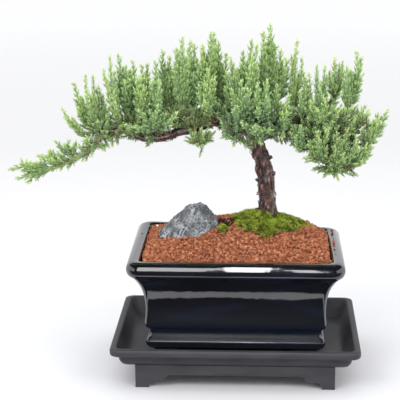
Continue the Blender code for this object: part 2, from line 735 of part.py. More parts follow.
def build():
    clear_scene()
    parts = make_collection("juniper_bonsai")
    tools = make_collection("cutters")
    materials = {name: make_material(name) for name in COLOURS}
    fat_wood = make_wood("fat_wood", tools, GAP / MM + 0.15)

    make_tray(parts, tools, materials["tray_plastic"])
    make_pot(parts, tools, materials["pot_glaze"])
    make_screen("drain_screen_left", -DRAIN_X, parts, materials["screen_plastic"])
    make_screen("drain_screen_right", DRAIN_X, parts, materials["screen_plastic"])
    make_soil(parts, tools, materials["potting_soil"], fat_wood)
    make_gravel(parts, tools, materials["lava_gravel"], fat_wood)

    lifted = bmesh_object("lifted_gravel", gravel_body(GAP / MM), tools)
    moss = make_cushion("moss_mound", MOSS_CENTRE, MOSS_HALF, MOSS_THICK, parts, materials["moss"])
    tuft = make_cushion(
        "moss_tuft", TUFT_CENTRE, (TUFT_RADIUS, TUFT_RADIUS), 3.0, parts, materials["moss"]
    )
    stone = make_stone(parts, materials["slate_stone"])
    for resting in (moss, tuft, stone):
        boolean(resting, lifted, "DIFFERENCE")
        keep_largest_body(resting)
    boolean(moss, fat_wood, "DIFFERENCE")
    keep_largest_body(moss)
    discard(lifted)

    make_wood("juniper_wood", parts, 0.0, materials["juniper_bark"])
    make_sprays(parts, materials["juniper_foliage"], fat_wood)
    discard(fat_wood)

    plant = bpy.data.objects.new("bonsai_origin", None)
    parts.objects.link(plant)
    for obj in parts.objects:
        if obj.type == "MESH":
            obj.parent = plant
    plant.location = (POT_X, 0.0, 0.0)


build()
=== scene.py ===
"""Looks for the juniper bonsai: needled sprays, peeling bark, lava granules, moss, veined slate,
a dark glazed pot and a matte drip tray, with a plain floor, studio lights and a camera.

Tables are in millimetres from the pot's centre line and the floor; SHIFT moves them to the
part's frame, whose origin is under the middle of the whole plant.
"""

import math

import bmesh
import bpy
import numpy as np
from mathutils import Matrix, Vector


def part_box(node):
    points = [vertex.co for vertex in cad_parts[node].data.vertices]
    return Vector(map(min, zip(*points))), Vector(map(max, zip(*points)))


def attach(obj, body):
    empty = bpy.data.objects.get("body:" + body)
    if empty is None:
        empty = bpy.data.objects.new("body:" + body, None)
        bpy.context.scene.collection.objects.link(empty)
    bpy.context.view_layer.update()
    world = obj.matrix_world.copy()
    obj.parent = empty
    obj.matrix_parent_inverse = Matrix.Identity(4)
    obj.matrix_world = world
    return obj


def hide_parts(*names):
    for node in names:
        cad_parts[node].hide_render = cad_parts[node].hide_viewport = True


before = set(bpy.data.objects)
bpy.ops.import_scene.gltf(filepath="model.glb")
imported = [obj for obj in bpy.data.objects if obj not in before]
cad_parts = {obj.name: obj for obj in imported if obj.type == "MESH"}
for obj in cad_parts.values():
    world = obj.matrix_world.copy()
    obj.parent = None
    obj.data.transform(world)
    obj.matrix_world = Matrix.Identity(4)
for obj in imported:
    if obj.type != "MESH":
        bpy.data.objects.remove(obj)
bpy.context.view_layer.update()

MM = 0.001
POT_LOW, POT_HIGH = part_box("glazed_pot")
SHIFT = np.array(((POT_LOW.x + POT_HIGH.x) / 2 / MM, 0.0, 0.0))
# Turn from one side shoot to the next, in radians.
GOLDEN_ANGLE = 2.39996
# Spacing of the points along a limb's smooth curve.
LIMB_STEP = 0.9
UP = np.array((0.0, 0.0, 1.0))

# ---- design tables, in millimetres ----

LIMBS = (
    ("trunk", (
        (25, 9, 84, 5.0), (25, 10, 96, 8.6), (24, 10, 104, 8.2), (23, 10, 110, 7.2),
        (22, 10, 118, 6.1), (21, 10, 129, 5.8), (20, 10, 140, 5.6), (18, 10, 151, 5.5),
        (15, 10, 159, 5.3), (12, 9, 167, 5.0), (7, 8, 174, 4.2),
    )),
    ("left_limb", (
        (7, 8, 174, 4.2), (0, 7, 178, 3.8), (-8, 6, 181, 3.5), (-16, 5, 181, 3.3),
        (-24, 4, 178, 3.0), (-34, 3, 175, 2.9), (-42, 2, 173, 2.8), (-52, 1, 170, 2.7),
        (-61, 0, 169, 2.6), (-68, 0, 169, 2.4), (-77, -1, 173, 2.0), (-85, -2, 175, 1.8),
        (-93, -3, 174, 1.7), (-100, -4, 168, 1.5), (-107, -5, 161, 1.4), (-116, -6, 155, 1.2),
        (-125, -7, 151, 1.0),
    )),
    ("leader", ((12, 9, 167, 4.2), (11, 10, 178, 2.8), (12, 11, 186, 2.0), (15, 11, 192, 1.4))),
    ("right_branch", (
        (13, 10, 166, 4.0), (22, 10, 170, 3.0), (33, 10, 173, 2.6), (44, 10, 176, 2.4),
        (54, 9, 176, 2.2), (63, 8, 174, 1.9), (71, 7, 171, 1.6),
    )),
    ("crown_left", ((0, 7, 178, 2.6), (-8, 10, 186, 1.8), (-15, 11, 190, 1.3))),
    ("right_up", ((44, 10, 176, 2.0), (55, 12, 182, 1.5), (63, 12, 190, 1.1))),
    ("right_out", ((63, 8, 174, 1.6), (76, 6, 167, 1.3), (83, 4, 164, 1.0))),
    ("right_low", (
        (33, 10, 173, 2.2), (43, 8, 169, 1.9), (51, 4, 162, 1.6), (59, 1, 155, 1.4),
        (67, 0, 151, 1.2), (76, -1, 149, 1.0), (81, -1, 149, 0.9),
    )),
    ("limb_up", ((-42, 2, 173, 1.9), (-42, 5, 178, 1.3), (-41, 6, 183, 1.0))),
    ("pad_up", ((-68, 0, 169, 1.8), (-72, 2, 176, 1.3), (-74, 3, 180, 1.0))),
    ("elbow_up", ((-93, -3, 174, 1.3), (-97, -2, 177, 1.1), (-99, -1, 180, 0.9))),
    ("crown_back", ((7, 8, 174, 3.0), (8, 20, 176, 1.9), (10, 29, 178, 1.3))),
    ("crown_front", ((12, 9, 167, 3.0), (12, 0, 173, 1.8), (12, -8, 177, 1.2))),
    ("right_back", ((54, 9, 176, 1.8), (59, 18, 176, 1.5), (64, 26, 176, 1.1))),
    ("root_left", ((25, 10, 92, 5.0), (9, 4, 84, 3.6), (-9, 0, 74, 2.4), (-23, -6, 62, 1.4))),
    ("root_front", ((25, 10, 92, 5.0), (27, -6, 84, 3.2), (31, -20, 70, 1.4))),
    ("root_right", ((25, 10, 92, 4.6), (39, 12, 82, 3.0), (51, 16, 68, 1.4))),
    ("root_back", ((25, 10, 92, 4.6), (19, 24, 82, 3.0), (11, 34, 68, 1.4))),
)

# Foliage: each spray's stem start, then the tips of its shoots.
SPRAYS = (
    ("droop_tip", (-134, -8, 148), ((-165, -8, 147), (-152, -5, 136), (-159, -13, 141), (-150, -2, 149))),
    ("droop_rise", (-128, -6, 151), ((-143, -10, 159), (-140, 1, 156), (-135, -3, 162))),
    ("droop_mid", (-119, -4, 156), ((-130, -9, 169), (-126, 4, 164), (-122, -3, 169), (-116, 0, 167))),
    ("elbow_low", (-99, -7, 166), ((-105, -8, 157), (-94, -13, 162), (-91, -5, 163))),
    ("left_outer", (-108, -3, 170), ((-126, -3, 192), (-118, -11, 187), (-125, 8, 183))),
    ("left_high_a", (-104, 6, 174), ((-118, 6, 209), (-114, 17, 197), (-114, -3, 192))),
    ("left_high_b", (-100, -6, 180), ((-108, -6, 217), (-103, 0, 215), (-105, -14, 205))),
    ("left_high_c", (-95, 3, 177), ((-100, 5, 207), (-97, 10, 199), (-91, -8, 194))),
    ("pad_outer", (-84, -4, 181), ((-95, -8, 221), (-90, -5, 230), (-86, -18, 207))),
    ("pad_mid", (-78, 5, 184), ((-85, 4, 230), (-80, 10, 221), (-74, 0, 226), (-79, -10, 213))),
    ("pad_inner", (-68, -4, 183), ((-68, -2, 224), (-64, 4, 224), (-65, -18, 211), (-71, -14, 216))),
    ("pad_back", (-75, 18, 177), ((-91, 28, 208), (-80, 33, 213), (-68, 28, 211))),
    ("limb_front", (-56, -8, 177), ((-79, -16, 182), (-69, -21, 194), (-55, -22, 198), (-41, -19, 192))),
    ("mid_a", (-58, -4, 183), ((-58, -3, 226), (-60, -12, 213), (-54, -14, 212))),
    ("mid_b", (-50, 11, 182), ((-54, 10, 232), (-49, 14, 227), (-46, 20, 219))),
    ("mid_c", (-38, -2, 189), ((-39, -4, 243), (-43, -9, 236), (-35, -3, 229))),
    ("mid_d", (-31, 6, 187), ((-34, 6, 240), (-31, 13, 236), (-27, -2, 225))),
    ("mid_back", (-44, 24, 178), ((-55, 33, 207), (-41, 37, 213), (-30, 34, 212))),
    ("crown_a", (-22, 6, 189), ((-19, 4, 246), (-25, 0, 238), (-17, 10, 245))),
    ("crown_a_front", (-20, -10, 190),
      ((-27, -22, 212), (-20, -19, 223), (-15, -23, 218), (-22, -29, 202))),
    ("crown_b", (-12, 13, 190), ((-14, 13, 238), (-8, 12, 230), (-11, 20, 221))),
    ("crown_c", (-3, -3, 189), ((-5, -4, 229), (0, -12, 223), (-8, -8, 219))),
    ("crown_d", (4, 6, 190), ((4, 8, 232), (2, 0, 224), (7, 14, 225))),
    ("crown_e", (11, -2, 196), ((10, 0, 241), (14, -6, 239), (9, -16, 225))),
    ("crown_top", (18, 10, 196), ((23, 11, 251), (18, 7, 246), (25, 16, 239))),
    ("crown_f", (27, 12, 192), ((27, 14, 235), (31, 10, 233), (35, 6, 227))),
    ("front_a", (5, -14, 187), ((-4, -25, 210), (3, -26, 216), (8, -30, 211), (-1, -33, 199))),
    ("front_b", (18, -13, 188), ((14, -25, 214), (21, -24, 216), (21, -33, 206), (14, -36, 198))),
    ("front_c", (31, -4, 180), ((28, -18, 212), (36, -19, 205), (35, -26, 194), (32, -20, 173))),
    ("under_left", (-1, -3, 172), ((-12, -16, 186), (-12, -12, 172), (-2, -12, 166), (9, -8, 163))),
    ("under_front", (14, -12, 177), ((3, -31, 187), (13, -38, 186), (24, -31, 182), (17, -24, 170))),
    ("back_a", (5, 34, 182), ((-3, 44, 209), (6, 48, 217), (1, 60, 188))),
    ("back_b", (20, 34, 182), ((17, 46, 220), (28, 44, 213), (24, 60, 190))),
    ("back_c", (-12, 27, 179), ((-23, 34, 212), (-13, 40, 211), (-17, 50, 190))),
    ("lone_shoot", (39, 10, 187), ((42, 8, 240), (38, 5, 230), (46, 11, 227))),
    ("right_a", (48, 8, 184), ((47, 10, 217), (51, 5, 217), (44, -2, 205))),
    ("right_b", (58, 2, 192), ((56, 0, 223), (62, 5, 222), (58, -12, 208))),
    ("right_c", (69, 12, 197), ((69, 12, 227), (75, 9, 225), (66, 0, 215))),
    ("right_d", (78, 4, 188), ((84, 3, 233), (88, 9, 228), (77, -4, 223))),
    ("right_e", (84, 4, 175), ((81, -3, 195), (91, 8, 193), (94, 1, 191))),
    ("right_tip", (91, 1, 164), ((107, 2, 191), (101, 7, 188), (96, -7, 185))),
    ("right_front", (63, -12, 183), ((51, -20, 201), (61, -24, 203), (73, -22, 196), (62, -31, 181))),
    ("right_near", (48, -3, 163), ((34, -8, 189), (37, -13, 177), (41, -14, 165), (45, -17, 183))),
    ("right_low_a", (67, 2, 148), ((53, -2, 147), (61, -6, 142), (73, -6, 141), (85, -2, 143))),
    ("right_low_b", (82, -2, 149), ((92, -8, 168), (98, -2, 173), (97, 4, 160), (89, -10, 156))),
    ("right_mid", (72, -5, 151), ((70, -16, 178), (78, -17, 180), (85, -14, 172), (75, -22, 163))),
    ("right_fan", (59, -5, 154), ((50, -15, 171), (57, -18, 179), (64, -16, 177), (47, -9, 158))),
    ("right_back_a", (62, 32, 181), ((48, 40, 199), (62, 45, 204), (77, 40, 201))),
    ("right_back_b", (73, 24, 165), ((59, 32, 147), (76, 36, 141), (89, 34, 163))),
    ("limb_under", (-26, -3, 171), ((-35, -7, 167), (-25, -9, 164), (-17, -3, 170))),
)

STONE_CORNERS = (
    (-26, -9, 125), (-23, -8, 123), (-16, -9, 116), (-13, -12, 110), (-13, -16, 101),
    (-28, -26, 99), (-41, -23, 100), (-55, -14, 99), (-57, -9, 103), (-52, -9, 108),
    (-45, -10, 113), (-38, -9, 120), (-33, -9, 123), (-26, 3, 120), (-14, 3, 108),
    (-40, 6, 110), (-27, 11, 98), (-49, 5, 98), (-15, 10, 98),
)

# Knobs on the trunk, as (x, y, z, radius).
KNOBS = (
    (23.5, 8, 154, 2.3), (26.0, 8, 142, 2.5), (14.6, 8, 137, 2.2), (15.4, 7, 127, 2.4),
    (15.5, 6, 115, 3.4), (27.5, 6, 113, 2.8), (19.0, 4, 147, 1.6), (12.0, 5, 160, 2.2),
)

# Fill of the pot: inner half sizes at the rim, then the heap's shape.
FILL_HALF = (67.0, 48.0)
FILL_CORNER = 5.0
GRAVEL_EDGE_Z = 89.4
HEAP_HEIGHT = 21.0
HEAP_X = 8.0
HEAP_SPREAD = (95.0, 49.0)
KILN_WARP = 2.2
POT_HALF = (76.8, 57.8)
MOSS_CENTRE = (22.0, 1.0)
MOSS_HALF = (27.5, 26.0)
MOSS_THICK = 6.0
TUFT_CENTRE = (-9.5, -19.0)
TUFT_RADIUS = 4.0


# ---- numbers and noise ----


def lattice(cells, seed):
    """A repeatable value from 0 to 1 for each whole-number point."""
    h = cells[:, 0] * 73856093 ^ cells[:, 1] * 19349663 ^ cells[:, 2] * 83492791 ^ seed * 2654435
    h = h & 0x7FFFFFFF
    h = ((h ^ (h >> 13)) * 1274126177) & 0x7FFFFFFF
    h = ((h ^ (h >> 16)) * 668265263) & 0x7FFFFFFF
    return (h & 0xFFFFF) / 0xFFFFF


def noise(points, seed=0):
    """Smooth value noise from -1 to 1 at each point."""
    whole = np.floor(points).astype(np.int64)
    part = points - whole
    part = part * part * (3 - 2 * part)
    total = np.zeros(len(points))
    for dx in (0, 1):
        for dy in (0, 1):
            for dz in (0, 1):
                weight = (
                    np.abs(1 - dx - part[:, 0])
                    * np.abs(1 - dy - part[:, 1])
                    * np.abs(1 - dz - part[:, 2])
                )
                total += weight * lattice(whole + np.array((dx, dy, dz)), seed)
    return total * 2 - 1


def fractal(points, seed=0):
    """Three octaves of noise, from about -1 to 1."""
    total = np.zeros(len(points))
    for octave in range(3):
        total += noise(points * 2.03**octave + 17.3 * octave, seed + octave) / 2**octave
    return total / 1.75


def unit(vectors):
    length = np.linalg.norm(vectors, axis=-1, keepdims=True)
    return vectors / np.maximum(length, 1e-9)


def sideways(directions, angles):
    """A unit vector square to each direction, turned about it by each angle."""
    helper = np.where(np.abs(directions[:, 2:3]) > 0.9, (1.0, 0.0, 0.0), (0.0, 0.0, 1.0))
    first = unit(np.cross(directions, helper))
    second = np.cross(directions, first)
    return first * np.cos(angles)[:, None] + second * np.sin(angles)[:, None]


# ---- meshes ----


class Soup:
    """Closed little bodies gathered into one mesh, with a shade for every corner."""

    def __init__(self):
        self.points = []
        self.faces = []
        self.shades = []
        self.count = 0

    def add(self, points, faces, shades=None):
        """points (n, 3) in mm, faces (m, 3), shades (n, 2): the UV of every point."""
        self.points.append(points)
        self.faces.append(faces + self.count)
        self.shades.append(np.zeros((len(points), 2)) if shades is None else shades)
        self.count += len(points)

    def make(self, name, material, smooth=True):
        """One mesh object, with its points moved to the part's frame in metres."""
        points = (np.concatenate(self.points) + SHIFT) * MM
        faces = np.concatenate(self.faces)
        shades = np.concatenate(self.shades)
        mesh = bpy.data.meshes.new(name)
        mesh.vertices.add(len(points))
        mesh.vertices.foreach_set("co", points.astype(np.float32).ravel())
        mesh.loops.add(faces.size)
        mesh.loops.foreach_set("vertex_index", faces.astype(np.int32).ravel())
        mesh.polygons.add(len(faces))
        mesh.polygons.foreach_set("loop_start", np.arange(0, faces.size, 3, dtype=np.int32))
        mesh.polygons.foreach_set("use_smooth", np.full(len(faces), smooth))
        layer = mesh.uv_layers.new(name="OFBake")
        layer.data.foreach_set("uv", shades[faces.ravel()].astype(np.float32).ravel())
        mesh.update(calc_edges=True)
        mesh.materials.append(material)
        return new_object(name, mesh)


def new_object(name, data):
    """An object in the scene that holds this mesh, light or camera."""
    obj = bpy.data.objects.new(name, data)
    bpy.context.scene.collection.objects.link(obj)
    return obj


def finish_piece(obj, slot, *nodes):
    """Every piece rides on the one body and may stand for CAD nodes, which it hides; slot is not used."""
    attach(obj, "root")
    if nodes:
        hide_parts(*nodes)


def bmesh_arrays(bm):
    """Points, normals and faces of a triangulated bmesh, which is then freed."""
    bm.verts.index_update()
    points = np.array([vert.co[:] for vert in bm.verts])
    normals = np.array([vert.normal[:] for vert in bm.verts])
    faces = np.array([[vert.index for vert in face.verts] for face in bm.faces])
    bm.free()
    return points, normals, faces


def wall_faces(steps, sides, turn=1):
    """Faces of a closed wall of rings; turn says which neighbour each point's quad reaches to."""
    low = np.arange(steps - 1)[:, None] * sides
    here = (low + np.arange(sides)).ravel()
    beside = (low + (np.arange(sides) + turn) % sides).ravel()
    return np.concatenate((
        np.stack((here, beside, beside + sides), -1),
        np.stack((here, beside + sides, here + sides), -1),
    ))


NEEDLE_FACES = np.array(((0, 2, 1), (0, 3, 2), (0, 1, 3), (1, 2, 4), (2, 3, 4), (3, 1, 4)))


def needles(soup, base, along, wide, length, width, shade, belly=0.35, thin=0.55):
    """A spindle of six faces for each row of the arrays."""
    thick = np.cross(along, wide)
    points = np.empty((len(base), 5, 3))
    points[:, 0] = base
    middle = base + along * (length * belly)[:, None]
    for k, angle in enumerate((math.pi / 2, math.pi * 7 / 6, math.pi * 11 / 6)):
        offset = wide * math.cos(angle) + thick * (math.sin(angle) * thin)
        points[:, 1 + k] = middle + offset * (width / 2)[:, None]
    points[:, 4] = base + along * length[:, None]
    faces = NEEDLE_FACES[None] + 5 * np.arange(len(base))[:, None, None]
    shades = shade[:, None, :] + np.array(
        ((-0.004, -0.030), (-0.004, 0.0), (0.0, 0.004), (0.004, 0.0), (0.002, 0.045))
    )
    soup.add(points.reshape(-1, 3), faces.reshape(-1, 3), shades.reshape(-1, 2))


def tube(soup, path, radii, sides, shade=(0.0, 0.0)):
    """A closed tapering tube along a path, pointed at its far end."""
    along = unit(np.gradient(path, axis=0))
    first = sideways(along[:1], np.zeros(1))[0]
    angles = np.arange(sides) * math.tau / sides
    rings = []
    for point, direction, radius in zip(path, along, radii):
        first = unit(first - direction * first.dot(direction))
        second = np.cross(direction, first)
        ring = np.outer(np.cos(angles), first) + np.outer(np.sin(angles), second)
        rings.append(point + ring * radius)
    ends = (path[:1] - along[:1] * radii[0] * 0.5, path[-1:] + along[-1:] * radii[-1])
    points = np.concatenate((*rings, *ends))
    steps = len(path)
    i = np.arange(sides)
    j = (i + 1) % sides
    start = np.full(sides, steps * sides)
    last = (steps - 1) * sides
    faces = np.concatenate((
        wall_faces(steps, sides),
        np.stack((start, j, i), -1),
        np.stack((start + 1, last + i, last + j), -1),
    ))
    shades = np.empty((len(points), 2))
    shades[:-2, 0] = shade[0] + 0.004 * np.tile(np.arange(sides) % 2, steps)
    shades[:-2, 1] = shade[1] + 0.02 * np.repeat(np.linspace(0, 1, steps), sides)
    shades[-2:] = shade
    soup.add(points, faces, shades)


# ---- foliage ----


def bent(start, end, bow, steps):
    """A quadratic curve from start to end, pulled towards start + bow."""
    t = np.linspace(0, 1, steps)[:, None]
    return start * (1 - t) ** 2 + (start + bow) * 2 * t * (1 - t) + end * t**2


def along_path(path, spacing):
    """Points and directions at an even spacing along a path, with their share of its length."""
    gaps = np.linalg.norm(np.diff(path, axis=0), axis=1)
    reach = np.concatenate(((0.0,), np.cumsum(gaps)))
    count = max(int(reach[-1] / spacing), 2)
    at = np.linspace(0, reach[-1], count)
    points = np.stack([np.interp(at, reach, path[:, k]) for k in range(3)], -1)
    return points, unit(np.gradient(points, axis=0)), at / reach[-1], reach[-1]


FOLIAGE_SLOT = "juniper_foliage"
# The shade of the foliage's own twigs: the brown end of its colours.
TWIG_TONE = 0.03
# The hanging shoot starts at this x on the long limb, and these points go on past its wood.
DROOP_START = -94
DROOP_END = ((-134, -8, 148), (-143, -8, 146), (-152, -8, 146.5))


# Needles along a kind of shoot, as (length, lean from the shoot at its foot and at its tip, spacing).
AXIS = (3.2, (34, 14), 0.85)
SIDE = (2.5, (38, 12), 0.72)
SIDE_FORK = (2.4, (38, 12), 0.75)
SHAGGY_FOOT = (5.2, (62, 48), 1.5)
SHAGGY_TAIL = (5.4, (48, 34), 1.3)
COMB = (3.2, (42, 14), 0.75)
COMB_FORK = (2.8, (42, 14), 0.8)


def clothe(soup, path, rng, hue, low, high, size, spread, spacing):
    """Whorls of three needles along a shoot: low and high are the shade at its two ends."""
    points, along, share, _ = along_path(path, spacing)
    base = np.repeat(points, 3, axis=0)
    along = np.repeat(along, 3, axis=0)
    share = np.repeat(share, 3)
    count = len(base)
    turn = rng.uniform(0, math.tau)
    angles = turn + np.repeat(np.arange(len(points)) * math.pi / 3, 3)
    angles += np.tile(np.arange(3) * math.tau / 3, len(points)) + rng.normal(0, 0.25, count)
    out = sideways(along, angles)
    lean = np.radians(spread[0] + (spread[1] - spread[0]) * share + rng.normal(0, 5, count))
    direction = unit(along * np.cos(lean)[:, None] + out * np.sin(lean)[:, None])
    length = size * (1.0 - 0.30 * share) * rng.uniform(0.82, 1.15, count)
    width = np.clip(0.42 * length, 0.85, 1.35)
    wide = unit(np.cross(direction, out))
    shade = np.stack((
        np.clip(hue + rng.normal(0, 0.05, count), 0.03, 0.97),
        np.clip(low + (high - low) * share + rng.normal(0, 0.035, count), 0.14, 0.93),
    ), -1)
    needles(soup, base, direction, wide, length, width, shade)


# A plume's share that bears no side shoots, its longest side shoot, and the length past which one forks.
BARE_SHARE = 0.08
LONGEST_SIDE = 6.6
FORKED_SIDE = 5.0


def plume(soup, start, tip, rng, hue, fresh, girth=1.0):
    """One feathered shoot: an axis with short side shoots packed all round it."""
    rise = tip - start
    reach = np.linalg.norm(rise)
    bow = rise * 0.45 + np.array((rise[0] * 0.22, rise[1] * 0.22, -abs(rise[2]) * 0.04))
    bow += rng.normal(0, 0.05 * reach, 3)
    path = bent(start, tip, bow, 14)
    tube(soup, path, np.linspace(0.75, 0.30, len(path)), 5, (hue, TWIG_TONE))
    clothe(soup, path, rng, hue, 0.40, fresh, *AXIS)
    points, along, share, length = along_path(path, 1.55)
    turn = rng.uniform(0, math.tau)
    for k in range(1, len(points) - 1):
        s = share[k]
        if s < BARE_SHARE:
            continue
        size = girth * min(1.9 + 0.19 * (1 - s) * length, LONGEST_SIDE) * rng.uniform(0.75, 1.2)
        turn += GOLDEN_ANGLE
        out = sideways(along[k:k + 1], np.array((turn,)))[0]
        lean = math.radians(rng.uniform(26, 40))
        direction = unit(along[k] * math.cos(lean) + out * math.sin(lean))
        end = points[k] + direction * size
        curl = direction * size * 0.5 + out * size * 0.12
        side = bent(points[k], end, curl, 5)
        # Side shoots start dark at their foot: partly the older growth's colour and partly painted shade in
        # the gaps between the lumps.
        shade_tip = 0.40 + (fresh - 0.40) * min(1.0, 0.25 + s)
        clothe(soup, side, rng, hue + rng.normal(0, 0.06), 0.24 + 0.14 * s, shade_tip, *SIDE)
        if size > FORKED_SIDE:
            for sign in (-1, 1):
                fork = points[k] + direction * size * 0.45
                aside = unit(direction + sign * 0.8 * np.cross(direction, out))
                twig = bent(fork, fork + aside * size * 0.46, aside * size * 0.2, 4)
                clothe(soup, twig, rng, hue, 0.28 + 0.12 * s, shade_tip, *SIDE_FORK)


def leafy_limbs():
    """The limbs that carry foliage: all but the trunk and the roots."""
    return [(name, line) for name, line in LIMBS if name != "trunk" and not name.startswith("root")]


def nearest_wood(point):
    """The nearest point of the leafy limbs' centre lines."""
    best = None
    for _, line in leafy_limbs():
        nodes = np.array(line, float)[:, :3]
        for a, b in zip(nodes[:-1], nodes[1:]):
            share = np.clip((point - a).dot(b - a) / (b - a).dot(b - a), 0, 1)
            found = a + (b - a) * share
            gap = np.linalg.norm(point - found)
            if best is None or gap < best[0]:
                best = (gap, found)
    return best[1]


# Sprays whose shoots stand apart from their neighbours, so that daylight shows between them.
SLIM = ("left_high_b", "left_high_c", "left_outer", "pad_outer", "right_a", "right_b", "lone_shoot")


def make_spray(name, start, tips, material, rng):
    """A branchlet: plumes to the tips, shorter ones between and beside them."""
    soup = Soup()
    start = np.array(start, float)
    tips = [np.array(tip, float) for tip in tips]
    hue = rng.uniform(0.30, 0.70)
    root = nearest_wood(start)
    foot = bent(root, start, (start - root) * 0.5 + rng.normal(0, 0.8, 3), 8)
    tube(soup, foot, np.linspace(1.1, 0.8, len(foot)), 6, (hue, TWIG_TONE))
    clothe(soup, foot, rng, hue, 0.16, 0.34, *SHAGGY_FOOT)
    middle = sum(tips) / len(tips)
    shoots = [(tip, True) for tip in tips]
    girth, filling = (0.66, 0.8) if name in SLIM else (1.0, 1.0)
    for a, b in zip(tips, tips[1:] + tips[:1]):
        reach = rng.uniform(0.60, 0.86) * filling
        between = a * 0.5 + b * 0.5
        shoots.append((start + (between - start) * reach + rng.normal(0, 1.6, 3), False))
    shoots.append((start + (middle - start) * rng.uniform(0.72, 0.9) + rng.normal(0, 1.5, 3), False))
    for tip in tips:
        depth = 4.5 if rng.random() < 0.5 else -4.5
        aside = np.array((rng.normal(0, 1.5), depth * rng.uniform(0.7, 1.2), 0.0))
        shoots.append((start + (tip - start) * rng.uniform(0.62, 0.88) + aside, False))
    for tip, leading in shoots:
        inset = unit(tip - start) * 1.6
        fresh = rng.uniform(0.70, 0.93) if leading else rng.uniform(0.55, 0.80)
        begin = start + (tip - start) * rng.uniform(0.0, 0.06)
        plume(soup, begin, tip - inset, rng, hue + rng.normal(0, 0.07), fresh, girth)
    finish_piece(soup.make("plumes_" + name, material), FOLIAGE_SLOT, "spray_" + name)


# Thickets of short spiky growth round the limbs' joints, as (centre, half sizes, count, tint, light).
THICKETS = (
    ((10, -8, 181), (25, 13, 12), 190, 0.26, 0.42), ((28, -4, 181), (15, 14, 12), 110, 0.28, 0.44),
    ((-8, 2, 186), (14, 13, 7), 70, 0.45, 0.50), ((12, 20, 181), (24, 12, 10), 70, 0.40, 0.48),
    ((-36, 3, 182), (26, 9, 6), 130, 0.78, 0.36), ((-72, 2, 178), (18, 10, 7), 100, 0.74, 0.44),
    ((-97, -1, 176), (9, 8, 8), 60, 0.62, 0.58), ((52, 4, 181), (15, 12, 12), 100, 0.45, 0.54),
    ((68, -2, 180), (18, 12, 17), 105, 0.55, 0.66), ((72, -2, 156), (19, 10, 9), 80, 0.62, 0.66),
    ((90, 0, 176), (10, 8, 10), 30, 0.60, 0.72), ((56, 0, 168), (12, 10, 10), 60, 0.50, 0.58),
    ((-27, -5, 168), (8, 4, 3), 34, 0.74, 0.57),
)
# How far a thicket's shoots lean outwards along each axis, before they turn up.
THICKET_SPREAD = np.array((0.7, 0.9, 0.6))


def thickets(material):
    """Short shoots that fill the heart of the crown, leaning outwards and up."""
    rng = np.random.default_rng(404)
    soup = Soup()
    for centre, half, count, tint, light in THICKETS:
        middle, half = np.array(centre, float), np.array(half, float)
        for _ in range(count):
            out = unit(rng.normal(0, 1, 3))
            spot = middle + out * half * rng.uniform(0.15, 0.95) ** 0.5 * 0.8
            lean = unit(out * THICKET_SPREAD + 0.55 * UP + rng.normal(0, 0.3, 3))
            size = rng.uniform(5.0, 9.5)
            side = bent(spot, spot + lean * size, lean * size * 0.4 + out * 0.8, 5)
            hue = np.clip(rng.normal(tint, 0.12), 0.04, 0.96)
            # Shoots that lean up get lighter tips: painted light from above.
            high = light + rng.uniform(-0.10, 0.12) + 0.10 * out[2]
            tube(soup, side, np.linspace(0.5, 0.25, len(side)), 4, (hue, 0.06))
            clothe(soup, side, rng, hue, rng.uniform(0.22, 0.34), high, rng.uniform(2.8, 3.8), (50, 20), 0.95)
    finish_piece(soup.make("crown_heart", material), FOLIAGE_SLOT)


def clothe_droop(material):
    """The long drooping shoot: bright needles all round it, combs of side shoots above."""
    rng = np.random.default_rng(606)
    soup = Soup()
    line = smooth_line(LIMBS[1][1])[:, :3]
    line = np.concatenate((line[line[:, 0] < DROOP_START], DROOP_END))
    for turn in range(3):
        clothe(soup, line, rng, 0.86, 0.24 + 0.06 * turn, 0.62, 4.6 - 0.5 * turn, (46, 30), 1.0)
    points, along, _, _ = along_path(line, 2.3)
    for k in range(1, len(points) - 1):
        up = k % 2 == 0
        lift = np.array((0.0, rng.normal(0, 0.5), 1.0 if up else rng.uniform(-0.9, 0.2)))
        lean = unit(lift + along[k] * rng.uniform(0.5, 0.9))
        size = rng.uniform(7.5, 13.0) if up else rng.uniform(3.5, 6.0)
        side = bent(points[k], points[k] + lean * size, lean * size * 0.45 + along[k] * 1.5, 6)
        hue = np.clip(rng.normal(0.74, 0.1), 0.04, 0.96)
        clothe(soup, side, rng, hue, 0.32, rng.uniform(0.66, 0.86), *COMB)
        if up:
            for sign in (-1, 1):
                fork = points[k] + lean * size * 0.4
                aside = unit(lean + sign * np.array((0.6, rng.normal(0, 0.3), 0.1)))
                twig = bent(fork, fork + aside * size * 0.42, aside * size * 0.2, 4)
                clothe(soup, twig, rng, hue, 0.36, rng.uniform(0.66, 0.86), *COMB_FORK)
    finish_piece(soup.make("droop_needles", material), FOLIAGE_SLOT)


# Along x: the stretch of the long limb with a bare underside, and where its hanging end begins.
BARE_LIMB = (-60.0, -14.0)
OUTER_LIMB = -96


